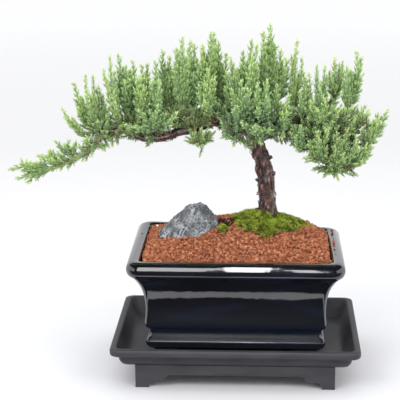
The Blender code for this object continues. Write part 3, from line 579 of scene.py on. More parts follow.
def clothe_limbs(material):
    """Short tufts and loose needles along the limbs, apart from the bare underside of the long one."""
    rng = np.random.default_rng(909)
    soup = Soup()
    for name, line in leafy_limbs():
        curve = smooth_line(line)
        path, radius = curve[:, :3], curve[:, 3]
        points, along, share, reach = along_path(path, LIMB_STEP)
        for k in range(2, len(points)):
            x = points[k][0]
            outer = name == "left_limb" and x < OUTER_LIMB
            bare = name == "left_limb" and BARE_LIMB[0] < x < BARE_LIMB[1]
            if name in ("right_branch", "left_limb", "leader") and reach * share[k] < 5:
                continue
            out = sideways(along[k:k + 1], np.array((rng.uniform(0, math.tau),)))[0]
            if bare and (out[2] < 0.1 and out[1] < 0.55 or out[1] < -0.5):
                continue
            if outer and rng.random() < 0.62:
                continue
            wood = np.interp(share[k], np.linspace(0, 1, len(radius)), radius)
            if outer:
                size = rng.uniform(5.0, 9.5) if out[2] > 0.1 else rng.uniform(2.0, 3.5)
                direction = unit(out * 0.8 + along[k] * 0.9 + 0.25 * UP)
            else:
                size = rng.uniform(7.0, 15.0) if out[2] > -0.1 else rng.uniform(3.0, 6.5)
                direction = unit(out + along[k] * rng.uniform(-0.2, 0.7) + 0.45 * UP)
            begin = points[k] + out * wood * 0.6
            end = begin + direction * (size + wood)
            hue = np.clip(rng.normal(0.62, 0.22), 0.05, 0.95)
            side = bent(begin, end, direction * size * 0.4 + out * 1.0, 5)
            low = rng.uniform(0.17, 0.34)
            high = rng.uniform(0.38, 0.62) + (0.12 if outer else 0.0)
            tube(soup, side, np.linspace(0.45, 0.25, len(side)), 4, (hue, 0.04))
            clothe(soup, side, rng, hue, low, high, rng.uniform(3.4, 4.8), (52, 22), 1.0)
        if name == "left_limb":
            tail = path[path[:, 0] < -92]
            for _ in range(2):
                clothe(soup, tail, rng, 0.9, 0.22, 0.50, *SHAGGY_TAIL)
    finish_piece(soup.make("limb_needles", material), FOLIAGE_SLOT)


# ---- wood ----


def smooth_line(line):
    """A Catmull-Rom curve through (x, y, z, radius) points."""
    nodes = np.array(line, float)
    nodes = np.concatenate((2 * nodes[:1] - nodes[1:2], nodes, 2 * nodes[-1:] - nodes[-2:-1]))
    result = []
    for i in range(1, len(nodes) - 2):
        p0, p1, p2, p3 = nodes[i - 1:i + 3]
        steps = max(int(np.linalg.norm(p2[:3] - p1[:3]) / LIMB_STEP), 1)
        t = (np.arange(steps) / steps)[:, None]
        result.append(
            0.5 * (2 * p1 + (p2 - p0) * t + (2 * p0 - 5 * p1 + 4 * p2 - p3) * t**2
                   + (3 * p1 - p0 - 3 * p2 + p3) * t**3)
        )
    return np.concatenate((*result, nodes[-2:-1]))


def bark_tube(line, seed, sides):
    """Points and faces of a limb with knobs and lengthwise bark ridges."""
    curve = smooth_line(line)
    path, radius = curve[:, :3], np.maximum(curve[:, 3], 0.6)
    soup = Soup()
    tube(soup, path, radius, sides)
    points, faces = soup.points[0], soup.faces[0]
    reach = np.concatenate(((0.0,), np.cumsum(np.linalg.norm(np.diff(path, axis=0), axis=1))))
    s = np.repeat(reach, sides)
    a = np.tile(np.arange(sides) * math.tau / sides, len(path))
    circle = np.stack((np.cos(a), np.sin(a)), -1)
    strips = fractal(np.column_stack((circle * 2.6, s * 0.16)), seed)
    ridges = noise(np.column_stack((circle * 5.5, s * 0.10)), seed + 9)
    knobs = noise(np.column_stack((circle * 0.9, s * 0.13)), seed + 21)
    lift = 0.13 * strips + 0.10 * np.abs(ridges) + 0.30 * np.maximum(knobs, 0) - 0.06
    out = unit(points[:-2] - np.repeat(path, sides, axis=0))
    points[:-2] += out * np.clip(np.repeat(radius, sides) * lift, -0.8, 1.6)[:, None]
    return points, faces


def make_wood(material):
    """Limbs, roots and knobs fused into one skin, with flakes of bark on it."""
    soup = Soup()
    for k, (name, line) in enumerate(LIMBS):
        soup.add(*bark_tube(line, 31 + 7 * k, 40 if name == "trunk" else 24))
    sphere, _, sphere_faces = sphere_grid(3)
    for k, (x, y, z, radius) in enumerate(KNOBS):
        lump = sphere * (radius * 0.72 * (1 + 0.6 * noise(sphere * 1.9 + 9 * k, 61)))[:, None]
        soup.add(lump * np.array((1.0, 1.0, 0.8)) + np.array((x, y, z)), sphere_faces)
    raw = soup.make("raw_wood", material, smooth=False)
    remesh = raw.modifiers.new("fuse", "REMESH")
    remesh.mode = "VOXEL"
    remesh.voxel_size = 0.5 * MM
    depsgraph = bpy.context.evaluated_depsgraph_get()
    mesh = bpy.data.meshes.new_from_object(raw.evaluated_get(depsgraph))
    bpy.data.objects.remove(raw)
    points = np.empty(len(mesh.vertices) * 3, np.float32)
    mesh.vertices.foreach_get("co", points)
    mesh.calc_loop_triangles()
    faces = np.empty(len(mesh.loop_triangles) * 3, np.int32)
    mesh.loop_triangles.foreach_get("vertices", faces)
    bpy.data.meshes.remove(mesh)
    wood = Soup()
    wood.add(points.reshape(-1, 3).astype(float) / MM - SHIFT, faces.reshape(-1, 3))
    rng = np.random.default_rng(77)
    above_the_moss = smooth_line(LIMBS[0][1])[16:-6]
    thick_part = smooth_line(LIMBS[1][1])[4:-60]
    flakes(wood, above_the_moss, 80, rng)
    flakes(wood, thick_part, 40, rng)
    finish_piece(wood.make("bark", material), "juniper_bark", "juniper_wood")


def flakes(soup, line, count, rng):
    """Thin strips of bark that peel away at one end."""
    for _ in range(count):
        k = int(rng.integers(0, len(line) - 9))
        strip = line[k:k + int(rng.integers(4, 9))]
        if rng.random() >= 0.5:
            strip = strip[::-1]
        path, radius = strip[:, :3], strip[:, 3]
        steps = len(path)
        along = unit(np.gradient(path, axis=0))
        out = sideways(along, np.full(steps, rng.uniform(0, math.tau)))
        peel = np.linspace(0, 1, steps) ** 2 * rng.uniform(0.3, 1.3)
        inner = path + out * (radius * 1.04 + peel - 0.25)[:, None]
        half = rng.uniform(0.5, 1.1) * np.sin(np.linspace(0.7, 2.7, steps))
        wide = np.cross(along, out) * half[:, None]
        outer = inner + out * 0.45
        section = (inner - wide, inner + wide, outer + wide * 0.8, outer - wide * 0.8)
        points = np.stack(section, 1).reshape(-1, 3)
        end = 4 * (steps - 1)
        caps = ((0, 2, 1), (0, 3, 2), (end, end + 1, end + 2), (end, end + 2, end + 3))
        faces = np.concatenate((wall_faces(steps, 4), caps))
        if np.dot(np.cross(points[1] - points[0], points[5] - points[0]), out[0]) > 0:
            faces = faces[:, ::-1]
        soup.add(points, faces)


# ---- gravel ----


def heap_height(x, y):
    across = np.maximum(1 - ((x - HEAP_X) / HEAP_SPREAD[0]) ** 2, 0)
    along = np.maximum(1 - (y / HEAP_SPREAD[1]) ** 2, 0)
    edge = np.maximum(1 - (x / 68.0) ** 8, 0)
    level = GRAVEL_EDGE_Z + HEAP_HEIGHT * across * along * edge
    rim = np.maximum(np.abs(x) / FILL_HALF[0], np.abs(y) / FILL_HALF[1]) ** 3
    return level - KILN_WARP * rim * np.maximum(y / POT_HALF[1], 0) * x / POT_HALF[0]


def inside_fill(x, y, margin):
    """True where a point of the plan is inside the pot's rounded inner wall."""
    dx = np.abs(x) - (FILL_HALF[0] - FILL_CORNER)
    dy = np.abs(y) - (FILL_HALF[1] - FILL_CORNER)
    outside = np.hypot(np.maximum(dx, 0), np.maximum(dy, 0)) + np.minimum(np.maximum(dx, dy), 0)
    return outside < FILL_CORNER - margin


def sphere_grid(level):
    """Points, normals and faces of an icosphere of radius one."""
    bm = bmesh.new()
    bmesh.ops.create_icosphere(bm, subdivisions=level, radius=1.0)
    return bmesh_arrays(bm)


def turned(rng):
    """A random turn as a 3 by 3 array."""
    w, x, y, z = unit(rng.normal(0, 1, 4))
    return np.array((
        (1 - 2 * (y * y + z * z), 2 * (x * y - z * w), 2 * (x * z + y * w)),
        (2 * (x * y + z * w), 1 - 2 * (x * x + z * z), 2 * (y * z - x * w)),
        (2 * (x * z - y * w), 2 * (y * z + x * w), 1 - 2 * (x * x + y * y)),
    ))


def granule_shapes(rng, level, count, rough):
    """A set of different angular lumps of radius about one."""
    sphere, _, faces = sphere_grid(level)
    shapes = []
    for k in range(count):
        lump = sphere * (1 + rough * noise(sphere * 1.7 + 10 * k, 5 + k))[:, None]
        for _ in range(8):
            plane = unit(rng.normal(0, 1, 3))
            over = lump @ plane - rng.uniform(0.42, 0.80)
            lump = lump - np.maximum(over, 0)[:, None] * plane
        shapes.append(lump)
    return shapes, faces


# Near-black granules lie among the others in an ellipse, as (x, y, half width, half depth).
DARK_PATCH = (-8.5, -8.0, 7.0, 9.0)


def granules(soup, spots, sizes, shapes, faces, rng):
    """One stretched and turned lump at every spot."""
    for spot, size in zip(spots, sizes):
        shape = shapes[int(rng.integers(len(shapes)))]
        stretch = rng.uniform(0.62, 1.25, 3)
        lump = (shape * stretch) @ turned(rng).T * size
        hue = rng.uniform(0.05, 0.95)
        away = ((spot[0] - DARK_PATCH[0]) / DARK_PATCH[2]) ** 2 + ((spot[1] - DARK_PATCH[1]) / DARK_PATCH[3]) ** 2
        if away < 1 and rng.random() < 0.75:
            hue = 0.0
        shade = np.empty((len(lump), 2))
        shade[:, 0] = hue + 0.004 * (np.arange(len(lump)) % 3)
        shade[:, 1] = np.clip(0.5 + 0.35 * rng.normal(0, 0.5, len(lump)), 0.05, 0.95)
        soup.add(lump + spot, faces, shade)


# Where the stone meets the gravel, as (x, y) corners in order.
STONE_FOOT = ((-13, -16), (-28, -26), (-41, -23), (-55, -14), (-57, -9), (-49, 5), (-27, 11), (-15, 10))


def covered(x, y):
    """True under the moss or the stone, where no granule would show."""
    across, along = MOSS_HALF[0] - 2, MOSS_HALF[1] - 2
    moss = ((x - MOSS_CENTRE[0]) / across) ** 2 + ((y - MOSS_CENTRE[1]) / along) ** 2
    corners = np.array(STONE_FOOT, float)
    stone = np.ones(len(x), bool)
    for a, b in zip(corners, np.roll(corners, -1, axis=0)):
        cross = (b[0] - a[0]) * (y - a[1]) - (b[1] - a[1]) * (x - a[0])
        stone &= cross / np.hypot(*(b - a)) < 0.9
    return (moss < 1) | stone


def make_gravel(material):
    """A packed layer of granules, then crumbs over it, on the rim and on a slab below."""
    rng = np.random.default_rng(11)
    pitch = 2.2
    rows = []
    for j, y in enumerate(np.arange(-FILL_HALF[1], FILL_HALF[1], pitch * 0.866)):
        x = np.arange(-FILL_HALF[0], FILL_HALF[0], pitch) + (j % 2) * pitch / 2
        rows.append(np.stack((x, np.full(len(x), y)), -1))
    plan = np.concatenate(rows)
    x, y = (plan + rng.normal(0, 0.42, plan.shape)).T
    keep = inside_fill(x, y, 1.2) & ~covered(x, y)
    x, y = x[keep], y[keep]
    sizes = np.clip(rng.normal(1.45, 0.28, len(x)), 0.95, 2.1)
    height = heap_height(x, y) - 0.5 + rng.normal(0, 0.55, len(x))
    soup = Soup()
    shapes, faces = granule_shapes(rng, 2, 14, 0.38)
    granules(soup, np.column_stack((x, y, height)), sizes, shapes, faces, rng)
    finish_piece(soup.make("lava_granules", material, smooth=False), "lava_gravel", "lava_gravel")

    soup = Soup()
    shapes, faces = granule_shapes(rng, 1, 8, 0.25)
    count = 1500
    x = rng.uniform(-FILL_HALF[0], FILL_HALF[0], count)
    y = rng.uniform(-FILL_HALF[1], FILL_HALF[1], count)
    keep = inside_fill(x, y, 1.0) & ~covered(x, y)
    x, y = x[keep], y[keep]
    spots = np.column_stack((x, y, heap_height(x, y) + rng.uniform(0.3, 1.3, len(x))))
    granules(soup, spots, rng.uniform(0.6, 1.1, len(x)), shapes, faces, rng)
    crumbs = np.array(RIM_CRUMBS)
    granules(soup, crumbs[:, :3], crumbs[:, 3], shapes, faces, rng)
    soup.add(*heap_sheet())
    finish_piece(soup.make("lava_crumbs", material, smooth=False), "lava_gravel", "lava_gravel")


# Crumbs that lie on the pot's rim, as (x, y, z, radius).
RIM_CRUMBS = (
    (70.5, 36.0, 91.5, 1.5), (71.2, 39.5, 91.2, 1.1), (70.6, 6.0, 92.0, 1.3), (71.4, 9.0, 91.9, 0.9),
    (70.2, -8.0, 92.2, 1.0), (70.8, -22.0, 92.2, 0.8), (71.0, 24.0, 91.5, 0.8), (-71.0, 20.0, 92.9, 0.8),
)


def heap_sheet():
    """A closed slab under the granules, so that no gap shows the pot's inside."""
    half_x, half_y = FILL_HALF[0] - 0.4, FILL_HALF[1] - 0.4
    nx, ny = 60, 44
    u, v = np.meshgrid(np.linspace(-1, 1, nx), np.linspace(-1, 1, ny), indexing="ij")
    x = half_x * u * (1 - 0.035 * v**8)
    y = half_y * v * (1 - 0.05 * u**8)
    top = np.column_stack((x.ravel(), y.ravel(), heap_height(x, y).ravel() - 0.75))
    points = np.concatenate((top, top - np.array((0, 0, 6.0))))
    index = np.arange(nx * ny).reshape(nx, ny)
    a, b, c, d = (part.ravel() for part in (index[:-1, :-1], index[1:, :-1], index[1:, 1:], index[:-1, 1:]))
    upper = np.concatenate((np.stack((a, b, c), -1), np.stack((a, c, d), -1)))
    border = np.concatenate((index[:, 0], index[-1, 1:], index[-2::-1, -1], index[0, -2:0:-1]))
    after = np.roll(border, -1)
    below, below_after = border + nx * ny, after + nx * ny
    walls = (np.stack((border, below, after), -1), np.stack((after, below, below_after), -1))
    faces = np.concatenate((upper, upper[:, ::-1] + nx * ny, *walls))
    order = np.arange(len(points))
    return points, faces, np.column_stack((0.20 + 0.004 * (order % 3), 0.16 + 0.02 * (order % 5)))


# ---- moss ----


def trunk_hollow(x, y):
    """How much of the moss's thickness stays: little in front of the trunk, where it is worn low."""
    worn = np.exp(-(((x - 27) / 11) ** 2) - ((y + 4) / 9) ** 2)
    banked = np.exp(-(((x - 12) / 8) ** 2) - ((y - 8) / 8) ** 2)
    return 1 - 0.95 * worn + 0.5 * banked


def moss_cushion(name, centre, half, thick, blades, material, rng, node):
    """A lumpy dome on the gravel, closed below, with blades standing all over it."""

    def spot(share, angle):
        edge = 1 + 0.10 * np.sin(3 * angle + 1.0) + 0.06 * np.sin(7 * angle)
        x = centre[0] + half[0] * share * edge * np.cos(angle)
        y = centre[1] + half[1] * share * edge * np.sin(angle)
        dome = thick * (1 - share) ** 0.9 * trunk_hollow(x, y)
        lumps = fractal(np.column_stack((x * 0.16, y * 0.16, np.zeros(len(x)))), 3)
        return x, y, heap_height(x, y) + dome * (1 + 0.35 * lumps)

    soup = Soup()
    rings, count = 16, 56
    share = np.concatenate(((0.0,), np.repeat(np.arange(1, rings + 1) / rings, count)))
    angle = np.concatenate(((0.0,), np.tile(math.tau * np.arange(count) / count, rings)))
    top = np.column_stack(spot(share, angle))
    top[:, 2] -= 0.4
    top[-count:, 2] -= 1.5
    low = (centre[0], centre[1], heap_height(*centre) - 6.0)
    i = np.arange(count)
    j = (i + 1) % count
    last = 1 + (rings - 1) * count
    faces = np.concatenate((
        np.stack((np.zeros(count, int), 1 + i, 1 + j), -1),
        1 + wall_faces(rings, count, -1),
        np.stack((last + i, np.full(count, len(top)), last + j), -1),
    ))
    # The cushion's own skin takes a dark tone, seen between the blades: partly the moss's darker lower growth
    # and partly painted shade in the gaps.
    order = np.arange(len(top) + 1)
    shades = np.column_stack((0.3 + 0.004 * (order % 3), 0.14 + 0.02 * (order % 4)))
    soup.add(np.concatenate((top, (low,))), faces, shades)

    radius = np.sqrt(rng.uniform(0, 1, blades))
    x, y, z = spot(radius, rng.uniform(0, math.tau, blades))
    tuft = noise(np.column_stack((x * 0.55, y * 0.55, np.zeros(blades))), 8)
    tip = np.column_stack((x - centre[0], y - centre[1], np.full(blades, 30.0)))
    along = unit(unit(tip) + rng.normal(0, 0.33, (blades, 3)))
    length = rng.uniform(1.3, 2.6, blades) * (1 + 0.35 * tuft)
    wide = sideways(along, rng.uniform(0, math.tau, blades))
    shade = np.column_stack((
        np.clip(rng.normal(0.5, 0.2, blades), 0.05, 0.95),
        np.clip(0.46 + 0.42 * tuft + rng.normal(0, 0.13, blades), 0.12, 0.92),
    ))
    base = np.column_stack((x, y, z - 0.8))
    needles(soup, base, along, wide, length, np.full(blades, 0.62), shade, 0.5, 0.8)
    finish_piece(soup.make(name, material), "moss", node)


# ---- stone ----


def make_stone(material):
    """A hull over the corners, cut fine, then lifted into layers, chips and grit."""
    bm = bmesh.new()
    for corner in STONE_CORNERS:
        bm.verts.new(corner)
    bmesh.ops.convex_hull(bm, input=bm.verts)
    loose = [vert for vert in bm.verts if not vert.link_faces]
    bmesh.ops.delete(bm, geom=loose, context="VERTS")
    bmesh.ops.triangulate(bm, faces=bm.faces)
    for _ in range(5):
        long_edges = [edge for edge in bm.edges if edge.calc_length() > 1.3]
        bmesh.ops.subdivide_edges(bm, edges=long_edges, cuts=1)
        bmesh.ops.triangulate(bm, faces=bm.faces)
    bmesh.ops.dissolve_degenerate(bm, dist=0.02, edges=bm.edges)
    bmesh.ops.triangulate(bm, faces=bm.faces)
    every_axis = {"use_axis_x": True, "use_axis_y": True, "use_axis_z": True}
    bmesh.ops.smooth_vert(bm, verts=bm.verts, factor=0.2, **every_axis)
    bmesh.ops.recalc_face_normals(bm, faces=bm.faces)
    bm.normal_update()
    points, normals, faces = bmesh_arrays(bm)
    tilt = points @ np.array(((0.86, 0.1, 0.5), (-0.1, 1.0, 0.0), (-0.5, 0.0, 0.86)))
    layers = noise(tilt * np.array((0.08, 0.08, 0.42)), 51)
    chips = fractal(points * 0.20, 53)
    grit = noise(points * 1.1, 57)
    lift = 0.50 * layers + 1.1 * np.round(chips * 2.0) / 2.0 + 0.20 * grit - 0.3
    soup = Soup()
    soup.add(points + normals * lift[:, None], faces)
    piece = soup.make("veined_stone", material, smooth=False)
    piece.data.uv_layers.remove(piece.data.uv_layers["OFBake"])
    finish_piece(piece, "slate_stone", "accent_stone")


# ---- materials ----


class Shader:
    """Short calls for building one material's nodes."""

    def __init__(self, name, **values):
        self.material = bpy.data.materials.new(name)
        self.material.use_nodes = True
        self.nodes = self.material.node_tree.nodes
        self.links = self.material.node_tree.links
        self.surface = self.nodes["Principled BSDF"]
        for socket, value in values.items():
            self.surface.inputs[socket.replace("_", " ")].default_value = value

    def add(self, kind, inputs, **settings):
        """A node with its settings; inputs are links or constants by socket name or index."""
        node = self.nodes.new(kind)
        for key, value in settings.items():
            setattr(node, key, value)
        for key, value in inputs.items():
            if isinstance(value, bpy.types.NodeSocket):
                self.links.new(value, node.inputs[key])
            else:
                node.inputs[key].default_value = value
        return node

    def place(self):
        return self.add("ShaderNodeTexCoord", {}).outputs["Object"]

    def corner_shades(self):
        """The two shades that a soup gives to every corner: tint and tone."""
        layout = self.add("ShaderNodeUVMap", {}, uv_map="OFBake").outputs["UV"]
        split = self.add("ShaderNodeSeparateXYZ", {"Vector": layout})
        return split.outputs["X"], split.outputs["Y"]

    def height(self, factor):
        """The height over the floor in metres, times a factor."""
        split = self.add("ShaderNodeSeparateXYZ", {"Vector": self.place()})
        return self.times(split.outputs["Z"], factor)

    def stretched(self, scale, turn=(0.0, 0.0, 0.0)):
        inputs = {"Vector": self.place(), "Scale": scale, "Rotation": turn}
        return self.add("ShaderNodeMapping", inputs).outputs["Vector"]

    def noise(self, scale, detail=3.0, where=None, rough=0.55, warp=0.0):
        inputs = {"Scale": scale, "Detail": detail, "Roughness": rough, "Distortion": warp}
        inputs["Vector"] = where if where is not None else self.place()
        return self.add("ShaderNodeTexNoise", inputs).outputs["Fac"]

    def ramp(self, value, *stops):
        """Colours, or greys given as one number, at positions along a value."""
        node = self.add("ShaderNodeValToRGB", {"Fac": value})
        elements = node.color_ramp.elements
        while len(elements) < len(stops):
            elements.new(0.5)
        for element, (position, colour) in zip(elements, stops):
            element.position = position
            element.color = (*(colour if isinstance(colour, tuple) else grey(colour)), 1.0)
        return node.outputs["Color"]

    def mix(self, share, a, b, blend="MIX"):
        """Two colours mixed; a constant is a colour of three numbers."""
        inputs = {0: share}
        for index, value in ((6, a), (7, b)):
            inputs[index] = (*value, 1.0) if isinstance(value, tuple) else value
        return self.add("ShaderNodeMix", inputs, data_type="RGBA", blend_type=blend).outputs[2]

    def times(self, a, b):
        return self.add("ShaderNodeMath", {0: a, 1: b}, operation="MULTIPLY").outputs[0]

    def bump(self, height, strength, distance):
        node = self.add("ShaderNodeBump", {"Height": height, "Strength": strength, "Distance": distance})
        self.links.new(node.outputs["Normal"], self.surface.inputs["Normal"])

    def colour(self, socket):
        self.links.new(socket, self.surface.inputs["Base Color"])

    def roughness(self, socket):
        self.links.new(socket, self.surface.inputs["Roughness"])


def grey(value):
    return (value, value, value)


def foliage_material():
    """Brown twigs, rust at a needle's foot, then green that lightens to the young tips."""
    shader = Shader("juniper_needles", Roughness=0.62, Specular_IOR_Level=0.25)
    hue, tone = shader.corner_shades()
    cool = shader.ramp(
        tone, (0.00, (0.10, 0.050, 0.030)), (0.10, (0.18, 0.085, 0.040)), (0.16, (0.32, 0.18, 0.065)),
        (0.24, (0.19, 0.25, 0.12)), (0.34, (0.23, 0.37, 0.24)), (0.55, (0.36, 0.58, 0.28)),
        (0.75, (0.54, 0.78, 0.33)), (0.93, (0.69, 0.90, 0.42)),
    )
    warm = shader.ramp(
        tone, (0.00, (0.12, 0.060, 0.035)), (0.10, (0.22, 0.10, 0.045)), (0.16, (0.50, 0.30, 0.075)),
        (0.24, (0.38, 0.40, 0.11)), (0.34, (0.30, 0.42, 0.18)), (0.55, (0.46, 0.64, 0.22)),
        (0.75, (0.64, 0.82, 0.29)), (0.93, (0.80, 0.93, 0.40)),
    )
    shader.colour(shader.mix(hue, cool, warm))
    return shader.material


def bark_material():
    """Strips that run up the trunk and along the limbs: near black in the cracks, partly bark colour and
    partly painted shade, and pale pinkish brown on the raised strips, partly peeled bark and partly a painted
    highlight.
    """
    shader = Shader("peeling_bark", Specular_IOR_Level=0.8)
    upright = shader.noise(9.0, 5.0, shader.stretched((60.0, 60.0, 18.0)), 0.6, 0.4)
    level = shader.noise(9.0, 5.0, shader.stretched((18.0, 60.0, 60.0)), 0.6, 0.4)
    upper = shader.ramp(shader.height(4.0), (0.66, 0.0), (0.70, 1.0))
    grain = shader.mix(upper, upright, level)
    # Painted light in this ramp: its near-black low end lies where the bump sinks the cracks, and its pale
    # high end, where roughness is lowest, is also a painted highlight.
    tone = shader.ramp(
        grain, (0.32, (0.012, 0.007, 0.007)), (0.44, (0.045, 0.018, 0.015)), (0.54, (0.125, 0.050, 0.038)),
        (0.61, (0.30, 0.155, 0.125)), (0.68, (0.60, 0.44, 0.40)),
    )
    patches = shader.ramp(shader.noise(150.0), (0.47, 0.0), (0.60, 0.85))
    shader.colour(shader.mix(patches, tone, (0.030, 0.017, 0.018)))
    shader.roughness(shader.ramp(grain, (0.38, 0.55), (0.60, 0.22)))
    shader.bump(grain, 0.5, 0.0006)
    return shader.material


def gravel_material():
    """Brick red with a tint for each granule, and near black for the granules of the dark patch."""
    shader = Shader("lava_granules", Roughness=0.92, Specular_IOR_Level=0.2)
    tint, tone = shader.corner_shades()
    base = shader.ramp(
        tint, (0.00, (0.030, 0.020, 0.014)), (0.02, (0.030, 0.020, 0.014)), (0.05, (0.24, 0.084, 0.044)),
        (0.25, (0.34, 0.118, 0.058)), (0.50, (0.40, 0.145, 0.070)), (0.75, (0.45, 0.172, 0.088)),
        (0.92, (0.49, 0.21, 0.115)), (0.97, (0.58, 0.32, 0.19)),
    )
    shade = shader.ramp(tone, (0.0, 0.66), (0.5, 1.0), (1.0, 1.22))
    shader.colour(shader.mix(1.0, base, shade, "MULTIPLY"))
    return shader.material


def moss_material():
    shader = Shader("moss_blades", Roughness=0.75, Specular_IOR_Level=0.2)
    tint, tone = shader.corner_shades()
    base = shader.ramp(
        tone, (0.10, (0.040, 0.042, 0.012)), (0.35, (0.12, 0.155, 0.016)), (0.60, (0.24, 0.32, 0.028)),
        (0.92, (0.43, 0.51, 0.065)),
    )
    dry = shader.ramp(tint, (0.80, 0.0), (0.95, 0.5))
    shader.colour(shader.mix(dry, base, (0.30, 0.28, 0.06)))
    return shader.material


def stone_material():
    """Clouded slate with a net of pale veins that come and go."""
    shader = Shader("veined_slate", Specular_IOR_Level=0.45)
    cloud = shader.noise(90.0, 5.0, None, 0.65, 0.3)
    base = shader.ramp(
        cloud, (0.30, (0.032, 0.035, 0.040)), (0.52, (0.080, 0.086, 0.096)), (0.74, (0.17, 0.178, 0.190))
    )
    lie = shader.stretched((1.0, 1.3, 1.0), (0.3, 0.5, 0.2))
    where = shader.mix(0.018, lie, shader.noise(70.0), "ADD")
    inputs = {"Vector": where, "Scale": 330.0, "Randomness": 1.0}
    cells = shader.add("ShaderNodeTexVoronoi", inputs, feature="DISTANCE_TO_EDGE").outputs["Distance"]
    threads = shader.ramp(cells, (0.0, 1.0), (0.08, 0.75), (0.17, 0.0))
    fade = shader.ramp(shader.noise(75.0), (0.40, 0.05), (0.60, 1.0))
    shader.colour(shader.mix(shader.times(threads, fade), base, (0.46, 0.48, 0.50)))
    shader.roughness(shader.ramp(cloud, (0.3, 0.55), (0.7, 0.80)))
    shader.bump(shader.noise(520.0, 4.0), 0.55, 0.0006)
    return shader.material


def glaze_material():
    """Dark glaze: glossy on rim and wall, duller with blue and brown tints on the beads below."""
    shader = Shader("blue_black_glaze", IOR=2.05)
    pool = shader.noise(26.0, 3.0, shader.stretched((0.45, 0.45, 1.6)), 0.5, 0.8)
    body = shader.ramp(
        pool, (0.34, (0.0042, 0.0044, 0.0060)), (0.54, (0.0056, 0.0064, 0.0100)),
        (0.66, (0.0085, 0.0120, 0.0230)), (0.76, (0.0260, 0.0170, 0.0120)),
    )
    beads = shader.ramp(
        pool, (0.34, (0.004, 0.006, 0.012)), (0.50, (0.007, 0.011, 0.024)), (0.58, (0.018, 0.013, 0.010)),
        (0.72, (0.030, 0.020, 0.014)),
    )
    low = shader.ramp(shader.height(10.0), (0.425, 1.0), (0.465, 0.0))
    fleck = shader.ramp(shader.noise(900.0, 2.0), (0.66, 0.0), (0.74, 0.5))
    shader.colour(shader.mix(fleck, shader.mix(low, body, beads), (0.035, 0.042, 0.060)))
    shader.roughness(shader.mix(low, shader.ramp(pool, (0.3, 0.045), (0.8, 0.12)), grey(0.20)))
    shader.bump(shader.noise(60.0, 3.0, shader.stretched((1.0, 1.0, 1.4))), 0.16, 0.0010)
    return shader.material


def plastic_material():
    shader = Shader("charcoal_plastic", Specular_IOR_Level=0.4)
    wear = shader.noise(45.0, 4.0, shader.stretched((1.0, 1.0, 3.0)))
    shader.colour(shader.ramp(wear, (0.3, (0.036, 0.036, 0.041)), (0.7, (0.053, 0.053, 0.061))))
    shader.roughness(shader.ramp(wear, (0.3, 0.46), (0.7, 0.60)))
    shader.bump(shader.noise(1500.0, 2.0), 0.12, 0.0003)
    return shader.material


def screen_material():
    shader = Shader("screen_mesh", Roughness=0.6)
    weave = shader.noise(300.0)
    shader.colour(shader.ramp(weave, (0.3, (0.012, 0.02, 0.012)), (0.7, (0.03, 0.045, 0.03))))
    return shader.material


def soil_material():
    shader = Shader("dark_soil", Roughness=0.95)
    crumb = shader.noise(300.0, 5.0)
    shader.colour(shader.ramp(crumb, (0.3, (0.02, 0.012, 0.008)), (0.7, (0.10, 0.06, 0.035))))
    shader.bump(shader.noise(500.0, 4.0), 0.6, 0.001)
    return shader.material


# ---- CAD nodes that stay ----


def soft_normals(mesh, limit):
    """Corner normals averaged over the faces that meet at a point within the limit angle."""
    points = np.empty(len(mesh.vertices) * 3, np.float32)
    mesh.vertices.foreach_get("co", points)
    points = points.reshape(-1, 3)
    whole = np.round(points * 1e6).astype(np.int64)
    place = np.unique(whole, axis=0, return_inverse=True)[1].ravel()
    normals = np.empty(len(mesh.polygons) * 3, np.float32)
    mesh.polygons.foreach_get("normal", normals)
    normals = normals.reshape(-1, 3)
    meeting = [[] for _ in range(place.max() + 1)]
    for face in mesh.polygons:
        corners = list(face.vertices)
        for k, vertex in enumerate(corners):
            ahead = points[corners[(k + 1) % len(corners)]] - points[vertex]
            behind = points[corners[k - 1]] - points[vertex]
            size = np.linalg.norm(ahead) * np.linalg.norm(behind)
            turn = math.acos(max(-1.0, min(1.0, float(ahead.dot(behind) / max(size, 1e-12)))))
            meeting[place[vertex]].append((face.index, turn))
    least = math.cos(math.radians(limit))
    result = []
    for face in mesh.polygons:
        own = normals[face.index]
        for vertex in face.vertices:
            total = np.zeros(3)
            for other, turn in meeting[place[vertex]]:
                if own.dot(normals[other]) > least:
                    total += normals[other] * turn
            result.append(tuple(total / max(np.linalg.norm(total), 1e-9)))
    mesh.normals_split_custom_set(result)


def dress(node, material, angle):
    """Give a CAD node its material and smooth shading between its crisp edges."""
    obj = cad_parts[node]
    mesh = obj.data
    if "custom_normal" in mesh.attributes:
        mesh.attributes.remove(mesh.attributes["custom_normal"])
    for material_slot in obj.material_slots:
        material_slot.material = material
    mesh.polygons.foreach_set("use_smooth", np.full(len(mesh.polygons), True))
    soft_normals(mesh, angle)
    mesh.update()


# ---- stage ----


def card_material():
    shader = Shader("dark_card", Roughness=0.9, Specular_IOR_Level=0.1)
    cloud = shader.noise(2.0, 2.0)
    shader.colour(shader.ramp(cloud, (0.3, (0.01182, 0.01182, 0.01379)), (0.7, (0.012, 0.012, 0.014))))
    return shader.material


def floor_material():
    """A pale sweep with painted shade: a little darker round the plant than far behind it."""
    shader = Shader("pale_floor", Roughness=0.9, Specular_IOR_Level=0.1)
    away = shader.add("ShaderNodeVectorMath", {0: shader.place()}, operation="LENGTH").outputs["Value"]
    shader.colour(shader.ramp(
        shader.times(away, 0.25), (0.03, (0.72, 0.72, 0.74)), (0.20, (0.69, 0.69, 0.695)),
        (0.50, (0.88, 0.88, 0.875)), (0.85, (0.95, 0.95, 0.945)),
    ))
    return shader.material


def stage_piece(name, bm, material):
    mesh = bpy.data.meshes.new(name)
    bm.to_mesh(mesh)
    bm.free()
    mesh.materials.append(material)
    piece = new_object(name, mesh)
    return piece


